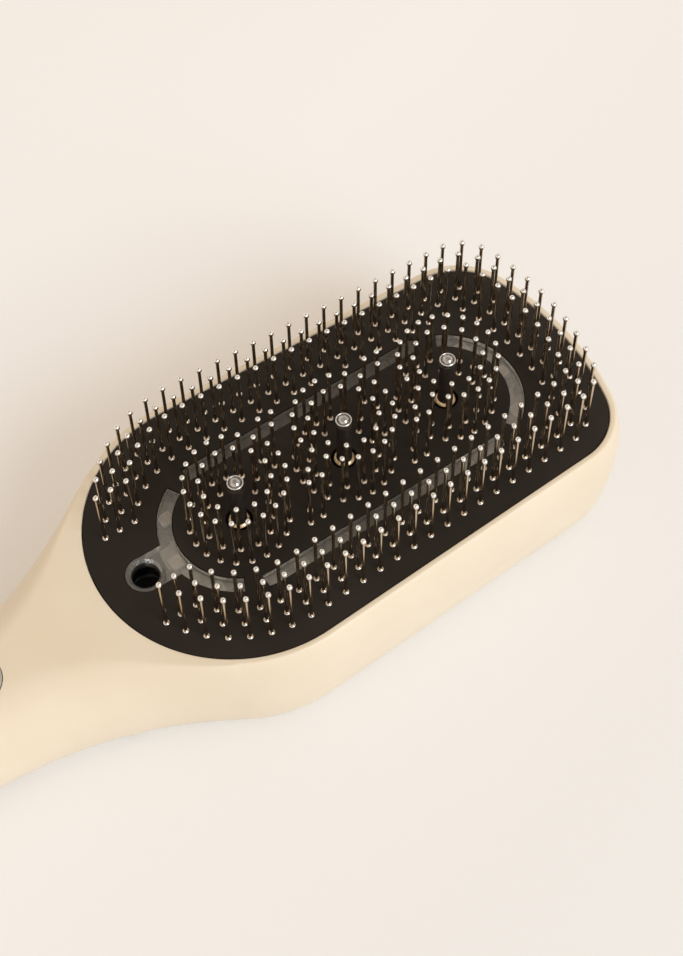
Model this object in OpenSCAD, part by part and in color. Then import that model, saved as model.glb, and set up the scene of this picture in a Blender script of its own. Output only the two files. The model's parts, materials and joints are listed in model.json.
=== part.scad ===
// Hair growth brush: a cream paddle body lying on its back, with a dark pin plate,
// metal ball-tipped pins, three roller nozzles fed from a tank, and a ring of light windows.
// X runs along the handle to the far end of the head, Z up out of the pin plate, Y across.
// The origin is under the middle of the overall length, on the plane that the back rests on.

/* [Body] */
// Length of the whole brush
overall_l = 245; // [225:1:275]
// Height of the pin plate's face above the back
body_h = 31; // [29:0.5:36]
// Wall of the moulded body
wall = 2; // [1.6:0.1:2.4]
// How far the head's side bulges past the pin plate's edge
side_bulge = 3; // [2.2:0.1:4.5]
// Depth of the head's widest line below the pin plate's face
head_level = 8; // [5:0.5:12]
// Width of the rounding under the head's side
head_round = 5; // [3:0.5:9]
// Height of the split between the body and the back cover
split_z = 3; // [2.6:0.1:4]

/* [Handle] */
// Width of the handle's waist
waist_w = 27; // [26:0.5:32]
// Angle at which each side of the handle flares towards its end
flare = 2; // [0.5:0.25:3]
// Radius of the hollow curve from head to handle
neck_r = 115; // [90:1:140]
// Height of the handle's widest line above the back
handle_z = 11; // [9:0.5:13]
// Width of the rounding under the handle's side
handle_round = 10; // [7:0.5:11]
// Length over which the neck comes down from the lip to the crown
neck_fall = 43; // [30:1:60]

/* [Pin plate] */
// Thickness of the pin plate
plate_t = 2; // [1.6:0.1:2.4]
// Radius of the pin plate's round end, at the handle
plate_r = 32.5; // [32:0.5:36]
// Angle at which each long side closes in towards the far end
taper = 2.3; // [0.5:0.1:3]
// Radius of the two far corners
corner_r = 14; // [13:0.5:18]
// Radius of the bowed far edge
bow_r = 70; // [60:1:110]
// Width of the body's lip round the plate
lip_w = 1.5; // [1.2:0.1:2]
// Height of the lip above the plate
lip_rise = 0.4; // [0.2:0.1:0.8]
// Gap between the plate and the lip
plate_gap = 0.2; // [0.1:0.05:0.3]
// Width of the ledge that carries the plate
ledge_w = 1.8; // [1.4:0.1:2.4]

/* [Pins] */
// Height of the pin tips above the plate
pin_h = 16.5; // [12:0.5:20]
// Diameter of a pin's shank
pin_d = 0.64; // [0.5:0.02:0.8]
// Diameter of the ball on a pin's tip
tip_d = 1.36; // [1:0.02:1.5]
// Diameter of the collar at a pin's foot
collar_d = 1.76; // [1.4:0.02:2]
// Height of the collar
collar_h = 0.5; // [0.3:0.1:0.8]
// Thickness of the strips that the pins are set in, under the plate
strip_t = 1.2; // [1:0.1:1.4]
// Inset of the outer row from the plate's edge
row_inset = 4.8; // [4:0.1:5.6]
// Distance between two of the three rows
row_gap = 3.1; // [2.8:0.1:3.2]
// Spacing of the pins along a row
row_pitch = 4.45; // [4:0.05:6]
// Half the width of the gap in the rows, beside the fill port
row_stop = 12.2; // [10:0.2:14]
// Radius of the inner ring of pins round a nozzle
ring_in_r = 7.45; // [7:0.05:7.8]
// Number of pins in the inner ring
ring_in_n = 12; // [8:1:14]
// Radius of the outer ring of pins round a nozzle
ring_out_r = 10.7; // [10.3:0.05:10.9]
// Number of pins in the outer ring
ring_out_n = 20; // [12:1:24]
// Distance of the single bridge pin from the centre line
bridge_y = 6.8; // [6.4:0.1:7.2]
// Spacing of the two outer bridge pins
bridge_gap = 3.2; // [2.8:0.1:3.6]
// Distance of the two outer bridge pins past the single one
bridge_rise = 2.7; // [2.4:0.1:3]

/* [Nozzles] */
// Distance between nozzles
nozzle_pitch = 27; // [25.5:0.5:29]
// Distance of the far nozzle from the plate's far edge
nozzle_inset = 31.8; // [30:0.2:34]
// Height of the nozzle's ring above the plate
nozzle_h = 14.6; // [11:0.2:18]
// Diameter of the nozzle's post
post_d = 3.4; // [3.2:0.1:3.6]
// Diameter of the roller ball
ball_d = 2.8; // [2.6:0.1:2.9]
// Travel of the roller ball and its valve
valve_travel = 0.4; // [0.2:0.1:0.5]
// Diameter of the recess round each post
recess_d = 5.8; // [5.2:0.1:6.4]

/* [Light ring and fill port] */
// Distance of the light band's middle from the nozzle line
band_r = 15.9; // [15.4:0.1:16.4]
// Width of the light band
band_w = 3.2; // [2.6:0.1:3.6]
// Half the angle of the curved windows
window_a = 61; // [50:1:66]
// How far the straight windows run past the outer nozzles
window_past = 3.5; // [1:0.5:4]
// Distance of the fill port from the near nozzle
port_x = 23.2; // [22.6:0.2:24]
// Distance of the fill port from the pin plate's handle end
port_inset = 10; // [8.8:0.2:12]
// Diameter of the fill port's bore
port_d = 6; // [5:0.1:6.4]
// Outer diameter of the fill port's rim
port_rim_d = 8.4; // [8:0.1:8.8]
// Width of the chamfer round the fill port's mouth
port_chamfer = 0.6; // [0.3:0.1:0.8]

/* [Tank and boards] */
// Half the width of the tank
tank_r = 13; // [11:0.5:14]
// Inner depth of the tank
tank_deep = 7; // [5:0.5:10]
// Wall of the tank
tank_wall = 1.4; // [1:0.1:2]
// Thickness of the tank's lid
lid_t = 1.6; // [1.2:0.1:2]
// Thickness of the boards
board_t = 1.2; // [0.8:0.1:1.6]
// Gap between the battery cell and the main board above it
board_gap = 0.8; // [0.3:0.1:1.2]
// Height from the main board's top to the handle's crown
board_room = 7; // [6.6:0.1:8]
// Width of the main board
board_w = 17; // [14:0.5:18]
// Diameter of the battery cell
cell_d = 14; // [12:0.5:14.4]
// Length of the battery cell
cell_l = 50; // [40:1:52]
// Diameter of the vibration motor
motor_d = 6; // [5:0.5:7]
// Length of the vibration motor
motor_l = 11; // [9:0.5:14]

/* [Button and socket] */
// Distance of the button from the plate's handle end
button_x = 30; // [26:0.5:40]
// Outer diameter of the button's ring
bezel_d = 10; // [9:0.2:11]
// Diameter of the button's cap
cap_d = 7.6; // [7:0.1:8]
// Travel of the button
button_travel = 0.5; // [0.3:0.1:0.6]
// Width of the charging socket
socket_w = 9; // [8.4:0.1:9.6]
// Height of the charging socket
socket_h = 3.2; // [2.8:0.1:3.4]

/* [Fits] */
// Clearance of a part that slides or turns in its bore, on the radius
run_fit = 0.05; // [0.03:0.01:0.08]
// Clearance round parts that drop into place
drop_fit = 0.15; // [0.1:0.05:0.25]

/* [Hidden] */
$fn = 48;

// Places along X, from the far end of the head
far_x = overall_l / 2;
tip_x = -overall_l / 2;
plate_far = far_x - side_bulge;
bow_c = [plate_far - bow_r, 0];
nozzles = [for (i = [2:-1:0]) plate_far - nozzle_inset - i * nozzle_pitch];
port_c = [nozzles[0] - port_x, 0];
plate_near = port_c[0] - port_inset;
round_c = [plate_near + plate_r, 0];
button_c = [plate_near - button_x, 0];

// Heights
face_z = body_h;
lip_z = body_h + lip_rise;
plate_z = body_h - plate_t;
roof_z = plate_z - 2;
strip_z = plate_z - strip_t;
chip_h = 0.8;
led_z = strip_z - 0.2 - chip_h - board_t;
lid_z = led_z - lid_t;
gasket_t = 0.8;
tank_top = lid_z - gasket_t;
tank_z = tank_top - tank_deep - tank_wall;
floor_t = 2;
cell_z = floor_t + 1 + cell_d / 2;
board_z = cell_z + cell_d / 2 + board_gap;
board_top = board_z + board_t;
crown_z = board_top + board_room;

// The far corner's circle touches the tapered side and the bowed edge
side_n = [sin(taper), cos(taper)];
side_t = [cos(taper), -sin(taper)];
corner_0 = round_c + side_n * (plate_r - corner_r) - bow_c;
corner_s = corner_0 * side_t;
side_l = -corner_s + sqrt(pow(corner_s, 2) - corner_0 * corner_0 + pow(bow_r - corner_r, 2));
corner_c = bow_c + corner_0 + side_t * side_l;
bow_a = atan2(corner_c[1], corner_c[0] - bow_c[0]);

// The neck's circle touches the head's round end and the handle's side
head_r = plate_r + side_bulge;
neck_a = 180 - asin((waist_w / 2 + neck_r) / (head_r + neck_r));
neck_c = round_c + (head_r + neck_r) * [cos(neck_a), sin(neck_a)];
neck_end = neck_c - neck_r * [sin(flare), cos(flare)];
tail_r = (neck_end[1] * cos(flare) + (neck_end[0] - tip_x) * sin(flare)) / (1 + sin(flare));
tail_c = [tip_x + tail_r, 0];

function on_circle(c, r, a) = c + r * [cos(a), sin(a)];
function arc_points(c, r, a0, a1, k) = [for (i = [0:k]) on_circle(c, r, a0 + (a1 - a0) * i / k)];
function without_first(p) = [for (i = [1:1:len(p) - 1]) p[i]];
function between(a, b, k) = [for (i = [1:1:k - 1]) a + (b - a) * i / k];
function last(p) = p[len(p) - 1];
function mirrored(p) = concat(p, [for (i = [len(p) - 2:-1:1]) [p[i][0], -p[i][1]]]);
function smooth(t) = let (c = min(1, max(0, t))) c * c * (3 - 2 * c);

// Half of the plate's outline, moved out by d, from the far edge's middle to the round end's angle a
function head_half(d, a, k_round) =
    let (
        bow = arc_points(bow_c, bow_r + d, 0, bow_a, 4),
        corner = without_first(arc_points(corner_c, corner_r + d, bow_a, 90 - taper, 6)),
        round_end = arc_points(round_c, plate_r + d, 90 - taper, a, k_round)
    )
    concat(bow, corner, between(last(corner), round_end[0], 8), round_end);
function plate_outline(d) = mirrored(head_half(d, 180, 20));

// Half of the widest outline of the whole body, moved out by d
function body_half(d) =
    let (
        head = head_half(side_bulge + d, neck_a, 5),
        neck = without_first(arc_points(neck_c, neck_r - d, neck_a - 180, -90 - flare, 14)),
        tail = arc_points(tail_c, tail_r + d, 90 - flare, 180, 8)
    )
    concat(head, neck, between(last(neck), tail[0], 5), tail);
head_count = len(head_half(0, neck_a, 5));

// Each rib of the body runs from its widest point to a crest point beside the centre line
rib_o = body_half(0);
rib_n = rib_o - body_half(-1);
lip_half = head_half(lip_w, neck_a, 5);
lip_r = plate_r + lip_w;
crest = 1.2;
crest_fade = 6;
// Behind the head the crest follows the lip's circle, softened so that it runs out along the neck
function crest_y(x) =
    let (d = x - round_c[0] + lip_r)
    sqrt(crest * crest + crest_fade * ln(1 + exp(d / crest_fade)) * (2 * lip_r - d));
function crest_point(i) =
    let (o = rib_o[i])
    i < head_count ? lip_half[i]
    : o[0] > tail_c[0] ? [o[0], crest_y(o[0])]
    : [tail_c[0] + 0.12 * (o[0] - tail_c[0]), i == len(rib_o) - 1 ? 0 : crest];
rib_l = [for (i = [0:len(rib_o) - 1]) crest_point(i)];

// 1 at the head, 0 along the handle
function headness(x) = smooth((x - neck_c[0] - 6) / (round_c[0] - 12 - neck_c[0] - 6));
function wide_z(x) = handle_z + (body_h - head_level - handle_z) * headness(x);
function under_w(x) = handle_round + (head_round - handle_round) * headness(x);
function crest_z(x) = lip_z - (lip_z - crown_z) * smooth((plate_near - lip_w - x) / neck_fall);
function roof_t(x) = wall + (lip_z - roof_z - wall) * headness(x);

// A point of rib i: under its widest line at height z, or above it at angle a of its shoulder
function under_a(x, z) = asin(min(1, (wide_z(x) - z) / wide_z(x)));
function under_point(i, z, inset) =
    let (o = rib_o[i], n = rib_n[i], off = under_w(o[0]) * (1 - cos(under_a(o[0], z))) + inset)
    [o[0] - n[0] * off, i == 0 || i == len(rib_o) - 1 ? 0 : o[1] - n[1] * off, z];
function shoulder_point(i, a) =
    let (o = rib_o[i], p = o + (rib_l[i] - o) * (1 - cos(a)), x = rib_l[i][0])
    [p[0], p[1], wide_z(o[0]) + (crest_z(x) - wide_z(o[0])) * sin(a)];
function inner_crest(i) =
    let (l = rib_l[i])
    i < head_count ? l - wall * rib_n[i] : [l[0], i == len(rib_o) - 1 ? 0 : max(l[1] - wall, crest)];
function inner_shoulder(i, a) =
    let (
        o = rib_o[i] - wall * rib_n[i],
        p = o + (inner_crest(i) - o) * (1 - cos(a)),
        x = rib_l[i][0],
        top = crest_z(x) - roof_t(x)
    )
    [p[0], p[1], wide_z(rib_o[i][0]) + (top - wide_z(rib_o[i][0])) * sin(a)];
function mirrored3(p) = concat(p, [for (i = [len(p) - 2:-1:1]) [p[i][0], -p[i][1], p[i][2]]]);
rib_count = len(rib_o);
loop_count = 2 * rib_count - 2;
function under_ring(f, inset) =
    mirrored3([
        for (i = [0:rib_count - 1])
            under_point(i, split_z + (wide_z(rib_o[i][0]) - split_z) * f, inset)
    ]);
function base_ring(f) =
    mirrored3([for (i = [0:rib_count - 1]) under_point(i, split_z * (1 - sin(f * 90)), 0)]);
function plan_at(z, inset) =
    mirrored([for (i = [0:rib_count - 1]) let (p = under_point(i, z, inset)) [p[0], p[1]]]);

// Faces between two closed rings that start at points a and b, clockwise from outside when b is above a
function band_faces(a, b, n) = [
    for (i = [0:n - 1]) let (j = (i + 1) % n) each [[a + i, b + i, b + j], [a + i, b + j, a + j]]
];
function flipped(faces) = [for (f = faces) [f[2], f[1], f[0]]];
// Faces that close a ring that starts at point a, in strips across it, seen clockwise from above
function cap_faces(a, n) = [
    for (i = [0:n / 2 - 1])
        let (p = a + i, q = a + i + 1, r = a + (n - i) % n, s = a + n - i - 1)
        each concat(p == r ? [] : [[q, p, r]], q == s ? [] : [[q, r, s]])
];

// Distances along half of a pin row at inset d, by its four stretches
function row_left_a(d) = 180 - asin(row_stop / (plate_r - d));
function stretch(d) = [
    (bow_r - d) * bow_a * PI / 180,
    (corner_r - d) * (90 - taper - bow_a) * PI / 180,
    side_l,
    (plate_r - d) * (row_left_a(d) - 90 + taper) * PI / 180
];
function row_u(d, s) =
    let (l = stretch(d))
    s < l[0] ? s / l[0]
    : s < l[0] + l[1] ? 1 + (s - l[0]) / l[1]
    : s < l[0] + l[1] + l[2] ? 2 + (s - l[0] - l[1]) / l[2]
    : 3 + (s - l[0] - l[1] - l[2]) / l[3];
function row_point(d, u) =
    u < 1 ? on_circle(bow_c, bow_r - d, u * bow_a)
    : u < 2 ? on_circle(corner_c, corner_r - d, bow_a + (u - 1) * (90 - taper - bow_a))
    : u < 3 ? corner_c + (corner_r - d) * side_n - side_t * side_l * (u - 2)
    : on_circle(round_c, plate_r - d, 90 - taper + (u - 3) * (row_left_a(d) - 90 + taper));
// The outer row leaves the far edge's middle free, and the other two start with a pin there
function row_half(r) =
    let (
        d = row_inset + r * row_gap,
        half = stretch(d) * [1, 1, 1, 1],
        first = r == 0 ? 0.5 : 0,
        n = round(half / row_pitch - first)
    )
    [for (i = [0:n]) let (u = row_u(d, half * (i + first) / (n + first))) [row_point(d, u), u]];
half_pins = [for (r = [0:2]) each row_half(r)];
side_pins = [for (p = half_pins) if (p[1] >= 1) p[0]];
function on_both_sides(points) = concat(points, [for (p = points) if (p[1] > 0) [p[0], -p[1]]]);
end_pins = on_both_sides([for (p = half_pins) if (p[1] < 1) p[0]]);
row_pins = on_both_sides([for (p = half_pins) p[0]]);
strip_rim = 0.8;
strip_edge = [row_inset - strip_rim, row_inset + 2 * row_gap + strip_rim];
function strip_outline(u0, u1, k) = concat(
    [for (i = [0:k]) row_point(strip_edge[0], u0 + (u1 - u0) * i / k)],
    [for (i = [k:-1:0]) row_point(strip_edge[1], u0 + (u1 - u0) * i / k)]
);
function ring_pins(r, n) = [for (i = [0:n - 1]) r * [cos(360 * i / n), sin(360 * i / n)]];
ring_all = concat(ring_pins(ring_in_r, ring_in_n), ring_pins(ring_out_r, ring_out_n));
bridge_x = [for (i = [0, 1]) (nozzles[i] + nozzles[i + 1]) / 2];
bridge_pins = [
    [0, bridge_y],
    [bridge_gap / 2, bridge_y + bridge_rise],
    [-bridge_gap / 2, bridge_y + bridge_rise]
];

module place_at(points) {
    for (p = points)
        translate([p[0], p[1], 0]) children();
}
module both_sides() {
    children();
    mirror([0, 1, 0]) children();
}
module at_z(z) {
    translate([0, 0, z]) children();
}

module pin_hole() {
    circle(d = pin_d + 0.04, $fn = 16);
}
// One pin, standing on the plate, with its shank going down through the plate into its strip
module pin() {
    at_z(plate_z - strip_t / 2) cylinder(d = pin_d, h = plate_t + strip_t / 2 + pin_h - tip_d / 2);
    at_z(face_z + pin_h - tip_d / 2) sphere(d = tip_d);
    at_z(face_z) cylinder(d = collar_d, h = collar_h * 0.6);
    at_z(face_z + collar_h * 0.6) cylinder(d1 = collar_d, d2 = pin_d + 0.3, h = collar_h * 0.4);
}
module pin_group(points) {
    color("#c9b8a6") place_at(points) pin();
}

// The body's front shell: side walls, lip, neck and handle, open at the back
outer_steps = [4, 8];
inner_steps = [2, 5];
module front_shell() {
    outer = concat(
        [for (j = [0:outer_steps[0] - 1]) under_ring(j / outer_steps[0], 0)],
        [for (j = [0:outer_steps[1]])
            mirrored3([for (i = [0:rib_count - 1]) shoulder_point(i, 90 * j / outer_steps[1])])]
    );
    inner = concat(
        [for (j = [0:inner_steps[0] - 1]) under_ring(j / inner_steps[0], wall)],
        [for (j = [0:inner_steps[1]])
            mirrored3([for (i = [0:rib_count - 1]) inner_shoulder(i, 90 * j / inner_steps[1])])]
    );
    n = loop_count;
    start = len(outer) * n;
    faces = concat(
        [for (j = [0:len(outer) - 2]) each band_faces(j * n, (j + 1) * n, n)],
        cap_faces((len(outer) - 1) * n, n),
        flipped([for (j = [0:len(inner) - 2]) each band_faces(start + j * n, start + (j + 1) * n, n)]),
        flipped(cap_faces(start + (len(inner) - 1) * n, n)),
        flipped(band_faces(0, start, n))
    );
    polyhedron(points = concat([for (r = outer) each r], [for (r = inner) each r]), faces = faces);
}

screw_head_d = 4.8;
screw_head_h = 1.1;
screw_sunk = 0.1;
screw_hex = 2;
screw_d = 2.1;
screw_l = 8.4;
boss_d = 5.6;
screw_inset = 4.6;
far_screws = [corner_c[0] - 2, corner_c[1] + corner_r - screw_inset];
near_screws = [plate_near - 5, 13];
rib_w = 1.6;
rib_l_far = screw_inset + side_bulge - 0.8 * wall;
rib_z = body_h - head_level - 10;
board_boss_x = [tail_c[0] + 2, button_c[0] + 10];
socket_z = board_z - socket_h / 2;

// The button's own frame stands on the crown, square to its slope
button_tilt = atan((crest_z(button_c[0] + 1) - crest_z(button_c[0] - 1)) / 2);
seat_deep = 1;
sleeve_h = 2.2;
bezel_hole_d = bezel_d - 0.9;
module on_crown() {
    translate([button_c[0], 0, crest_z(button_c[0])]) rotate([0, -button_tilt, 0]) children();
}

module at_screws() {
    both_sides() place_at([near_screws, far_screws]) children();
}
module screw_boss(p, top) {
    translate([p[0], p[1], split_z]) cylinder(d = boss_d, h = top - split_z);
}
module front_housing() {
    color("#efdcc0") difference() {
        union() {
            front_shell();
            both_sides() screw_boss(near_screws, crest_z(near_screws[0]) - 1.5 * wall);
            both_sides() screw_boss(far_screws, roof_z);
            both_sides() translate([far_screws[0] - rib_w / 2, far_screws[1], rib_z])
                cube([rib_w, rib_l_far, roof_z - rib_z]);
            for (x = board_boss_x)
                translate([x, 0, board_top]) cylinder(d = 4, h = crest_z(x) - wall / 2 - board_top);
        }
        at_z(plate_z) linear_extrude(plate_t + 3) polygon(plate_outline(plate_gap));
        at_z(plate_z - 6) linear_extrude(7) polygon(plate_outline(-ledge_w));
        at_screws() at_z(split_z - 1) cylinder(d = screw_d + 0.1, h = 9);
        on_crown() at_z(-seat_deep) cylinder(d = bezel_d + 2 * drop_fit, h = 6);
        on_crown() at_z(-5) cylinder(d = bezel_hole_d + 2 * drop_fit, h = 5);
        for (x = board_boss_x)
            translate([x, 0, board_top - 1]) cylinder(d = board_screw_d + 0.1, h = 5);
        translate([tip_x - 1, 0, socket_z]) rotate([90, 0, 90])
            linear_extrude(12) socket_outline(drop_fit);
    }
}

module socket_outline(grow) {
    r = socket_h / 2 + grow;
    straight = socket_w - socket_h;
    for (s = [-1, 1])
        translate([s * straight / 2, 0]) circle(r = r);
    square([straight, 2 * r], center = true);
}

// The back cover: a shallow curved tray with a rim that seats inside the shell
tank_posts = [for (x = [nozzles[0] - 8, nozzles[2]], y = [-8, 8]) [x, y]];
motor_x = nozzles[1] - motor_l / 2;
motor_z = floor_t + 1.2 + motor_d / 2;
cell_x = tail_c[0] + 8;
module rear_tray() {
    rings = [for (j = [0:5]) base_ring(j / 5)];
    n = loop_count;
    faces = concat(
        cap_faces(0, n),
        flipped([for (j = [0:4]) each band_faces(j * n, (j + 1) * n, n)]),
        flipped(cap_faces(5 * n, n))
    );
    polyhedron(points = [for (r = rings) each r], faces = faces);
}
module cradle(x, d, z, w) {
    translate([x, 0, 0]) difference() {
        translate([0, -w / 2, floor_t - 0.5]) cube([rib_w, w, z - floor_t + 0.5 - d * 0.2]);
        translate([-1, 0, z]) rotate([0, 90, 0]) cylinder(d = d + 0.1, h = rib_w + 2);
    }
}
module rear_housing() {
    color("#e9d5b8") difference() {
        union() {
            rear_tray();
            at_z(split_z - 0.5) linear_extrude(2.5) difference() {
                polygon(plan_at(split_z, wall + drop_fit));
                polygon(plan_at(split_z, wall + drop_fit + 1.2));
            }
            place_at(tank_posts) at_z(floor_t) cylinder(d = 4, h = tank_z - floor_t);
            for (x = [motor_x + 1, motor_x + motor_l - 2.6])
                cradle(x, motor_d, motor_z, motor_d + 3);
            for (x = [cell_x + 6, cell_x + cell_l - 8])
                cradle(x, cell_d, cell_z, waist_w - 14);
        }
        at_z(floor_t) linear_extrude(split_z - floor_t + 4) difference() {
            polygon(plan_at(split_z, wall + drop_fit + 1.2));
            place_at(tank_posts) circle(d = 5);
            translate([motor_x, -motor_d / 2 - 1.5]) square([motor_l, motor_d + 3]);
            translate([cell_x, -waist_w / 2 + 7]) square([cell_l, waist_w - 14]);
            at_screws() circle(d = boss_d + 2);
        }
        at_screws() {
            at_z(-1) cylinder(d = screw_d + 0.4, h = 10);
            at_z(-1) cylinder(d = screw_head_d + 2 * drop_fit, h = 1 + screw_sunk + screw_head_h);
            at_z(split_z) cylinder(d = boss_d + 0.6, h = 8);
        }
    }
}
module housing_screws() {
    color("#9a9a98") at_screws() at_z(screw_sunk) {
        difference() {
            cylinder(d = screw_head_d, h = screw_head_h);
            at_z(-screw_hex) cylinder(d = screw_hex, h = screw_hex + 0.65 * screw_head_h, $fn = 6);
        }
        at_z(screw_head_h - screw_d / 10) cylinder(d = screw_d, h = screw_l);
    }
}

// The light band's windows, with the fill port's tab and rim, grown by g
module window_sector(c, a0, g) {
    r = [band_r + band_w / 2 + g, band_r - band_w / 2 - g];
    more = g / band_r * 180 / PI;
    translate(c) polygon(concat(
        arc_points([0, 0], r[0], a0 - window_a - more, a0 + window_a + more, 16),
        arc_points([0, 0], r[1], a0 + window_a + more, a0 - window_a - more, 16)
    ));
}
module windows(g) {
    run = nozzles[2] - nozzles[0] + 2 * window_past;
    for (s = [-1, 1])
        translate([nozzles[1], s * band_r]) square([run + 2 * g, band_w + 2 * g], center = true);
    window_sector([nozzles[2], 0], 0, g);
    window_sector([nozzles[0], 0], 180, g);
    translate([port_c[0], -port_rim_d / 2 - g])
        square([port_x - band_r, port_rim_d + 2 * g]);
    translate(port_c) circle(d = port_rim_d + 2 * g);
}
module stadium(x0, x1, r) {
    polygon(concat(arc_points([x1, 0], r, -90, 90, 20), arc_points([x0, 0], r, 90, 270, 20)));
}

module pin_plate() {
    color("#2e2622") at_z(plate_z) linear_extrude(plate_t) difference() {
        polygon(plate_outline(0));
        windows(drop_fit);
        place_at([for (x = nozzles) [x, 0]]) circle(d = recess_d);
        place_at(row_pins) pin_hole();
        for (x = nozzles)
            translate([x, 0]) place_at(ring_all) pin_hole();
        both_sides() for (x = bridge_x)
            translate([x, 0]) place_at(bridge_pins) pin_hole();
    }
}

// The metal strip under the plate that a group of pins is set in
module strip() {
    color("#c9b8a6") at_z(strip_z) linear_extrude(strip_t) children();
}
module side_rows() {
    pin_group(side_pins);
    strip() polygon(strip_outline(1.04, 4.02, 60));
}
module pins_left_rows() {
    side_rows();
}
module pins_right_rows() {
    mirror([0, 1, 0]) side_rows();
}
module pins_far_end() {
    pin_group(end_pins);
    strip() polygon(strip_outline(-0.98, 0.98, 16));
}
module pin_ring(x) {
    translate([x, 0, 0]) {
        pin_group(ring_all);
        strip() difference() {
            circle(r = ring_out_r + strip_rim);
            circle(r = ring_in_r - strip_rim);
        }
    }
}
module pins_near_ring() {
    pin_ring(nozzles[0]);
}
module pins_middle_ring() {
    pin_ring(nozzles[1]);
}
module pins_far_ring() {
    pin_ring(nozzles[2]);
}
module pins_bridges() {
    both_sides() for (x = bridge_x)
        translate([x, 0, 0]) {
            pin_group(bridge_pins);
            strip() translate([0, bridge_y + bridge_rise / 2])
                square([bridge_gap + 2 * strip_rim, bridge_rise + 2 * strip_rim], center = true);
        }
}

// The clear light guide under the plate, with its windows and the fill port's neck
guide_lip = 0.5;
guide_r = [band_r - band_w / 2 - 2 * guide_lip, band_r + band_w / 2 + guide_lip];
window_sink = 0.15;
module light_guide() {
    color("#c8cdd0", 0.5) difference() {
        union() {
            at_z(strip_z) linear_extrude(strip_t) {
                difference() {
                    stadium(nozzles[0], nozzles[2], guide_r[1]);
                    stadium(nozzles[0], nozzles[2], guide_r[0]);
                }
                translate([port_c[0], -port_rim_d / 2])
                    square([port_x - band_r, port_rim_d]);
            }
            at_z(plate_z) linear_extrude(plate_t - window_sink) windows(0);
            translate([port_c[0], 0, post_z]) cylinder(d = port_rim_d, h = face_z - post_z);
        }
        translate([port_c[0], 0, lid_z]) cylinder(d = port_d, h = face_z - lid_z + 1);
        translate([port_c[0], 0, face_z - port_chamfer])
            cylinder(d1 = port_d, d2 = port_d + 2 * port_chamfer + 0.02, h = port_chamfer + 0.01);
    }
}

// The board of LEDs, resting on the tank's lid
led_r = [guide_r[0] - 0.8, guide_r[1]];
module led_board() {
    color("#2f5d46") at_z(led_z) linear_extrude(board_t) difference() {
        stadium(nozzles[0], nozzles[2], led_r[1]);
        stadium(nozzles[0], nozzles[2], led_r[0]);
    }
}
led_step = (nozzles[2] - nozzles[0]) / 5;
led_spots = concat(
    [for (a = [-40, 0, 40]) [nozzles[2] + band_r * cos(a), band_r * sin(a)]],
    [for (a = [140, 180, 220]) [nozzles[0] + band_r * cos(a), band_r * sin(a)]],
    [for (i = [0:4], s = [-1, 1]) [nozzles[1] + (i - 2) * led_step, s * band_r]]
);
chip_w = 2.8;
module led_chips() {
    color("#e8c9c0") place_at(led_spots)
        translate([-chip_w / 2, -chip_w / 2, led_z + board_t]) cube([chip_w, chip_w, chip_h]);
}
ribbon_w = 4.8;
ribbon_t = 0.3;
ribbon_gap = 0.5;
ribbon_lap = 2;
ribbon_bend = 3.4;
module led_ribbon() {
    off_led = nozzles[0] - led_r[1] - ribbon_gap;
    lid_edge = tank_x[0] - tank_r - 2 * lid_rim;
    on_board = board_x[1] - ribbon_lap;
    under = [
        [off_led + 2 * ribbon_lap, led_z + board_t], [off_led, led_z + board_t],
        [off_led - ribbon_lap, post_z], [lid_edge, post_z],
        [on_board + ribbon_bend, board_top], [on_board, board_top]
    ];
    over = [for (i = [len(under) - 1:-1:0]) under[i] + [0, ribbon_t]];
    color("#c98a3a") translate([0, port_rim_d / 2 + ribbon_gap + ribbon_w, 0]) rotate([90, 0, 0])
        linear_extrude(ribbon_w) polygon(concat(under, over));
}

// The clear serum tank, its gasket and its lid
tank_x = [port_c[0] + 6, nozzles[2]];
lid_rim = 1;
module tank_plan(grow) {
    stadium(tank_x[0], tank_x[1], tank_r + grow);
}
module serum_tank() {
    color("#dfe6e6", 0.5) difference() {
        at_z(tank_z) linear_extrude(tank_top - tank_z) tank_plan(0);
        at_z(tank_z + tank_wall) linear_extrude(tank_top) tank_plan(-tank_wall);
    }
}
module tank_gasket() {
    color("#e7e2dc") at_z(tank_top) linear_extrude(gasket_t) difference() {
        tank_plan(0);
        tank_plan(-tank_wall);
    }
}
module tank_lid() {
    color("#dfe6e6", 0.5) difference() {
        at_z(lid_z) linear_extrude(lid_t) tank_plan(lid_rim);
        translate([port_c[0], 0, lid_z - 1]) cylinder(d = port_d + 0.6, h = lid_t + 2);
        for (x = nozzles)
            translate([x, 0, lid_z - 1]) cylinder(d = 1.6, h = lid_t + 2);
    }
}

// A nozzle: post on the lid, bush, ring, spring valve and roller ball
post_z = lid_z + lid_t;
ball_z = face_z + nozzle_h - 0.72;
seat_z = ball_z - ball_d / 2;
valve_d = 1.9;
post_bore = valve_d + 2 * run_fit;
spring_h = 5;
foot_t = 1;
foot_d = 6.4;
module post(x) {
    color("#1f1b19") translate([x, 0, 0]) difference() {
        union() {
            at_z(post_z) cylinder(d = foot_d, h = foot_t);
            at_z(post_z) cylinder(d = post_d, h = ball_z - 0.9 - post_z);
        }
        at_z(post_z - 1) cylinder(d = 1.2, h = 3);
        at_z(post_z + foot_t) cylinder(d = post_bore, h = nozzle_h + 10);
        at_z(seat_z - valve_travel - 0.2) cylinder(d = ball_d + 2 * run_fit, h = 8);
    }
}
module bush(x) {
    color("#b98a4a") translate([x, 0, post_z + foot_t]) difference() {
        cylinder(d = post_d + 1.1, h = face_z + 0.6 - post_z - foot_t);
        at_z(-1) cylinder(d = post_d + 0.04, h = 20);
        at_z(face_z + 0.3 - post_z - foot_t) cylinder(d1 = post_d + 0.04, d2 = post_d + 0.7, h = 0.31);
    }
}
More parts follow.
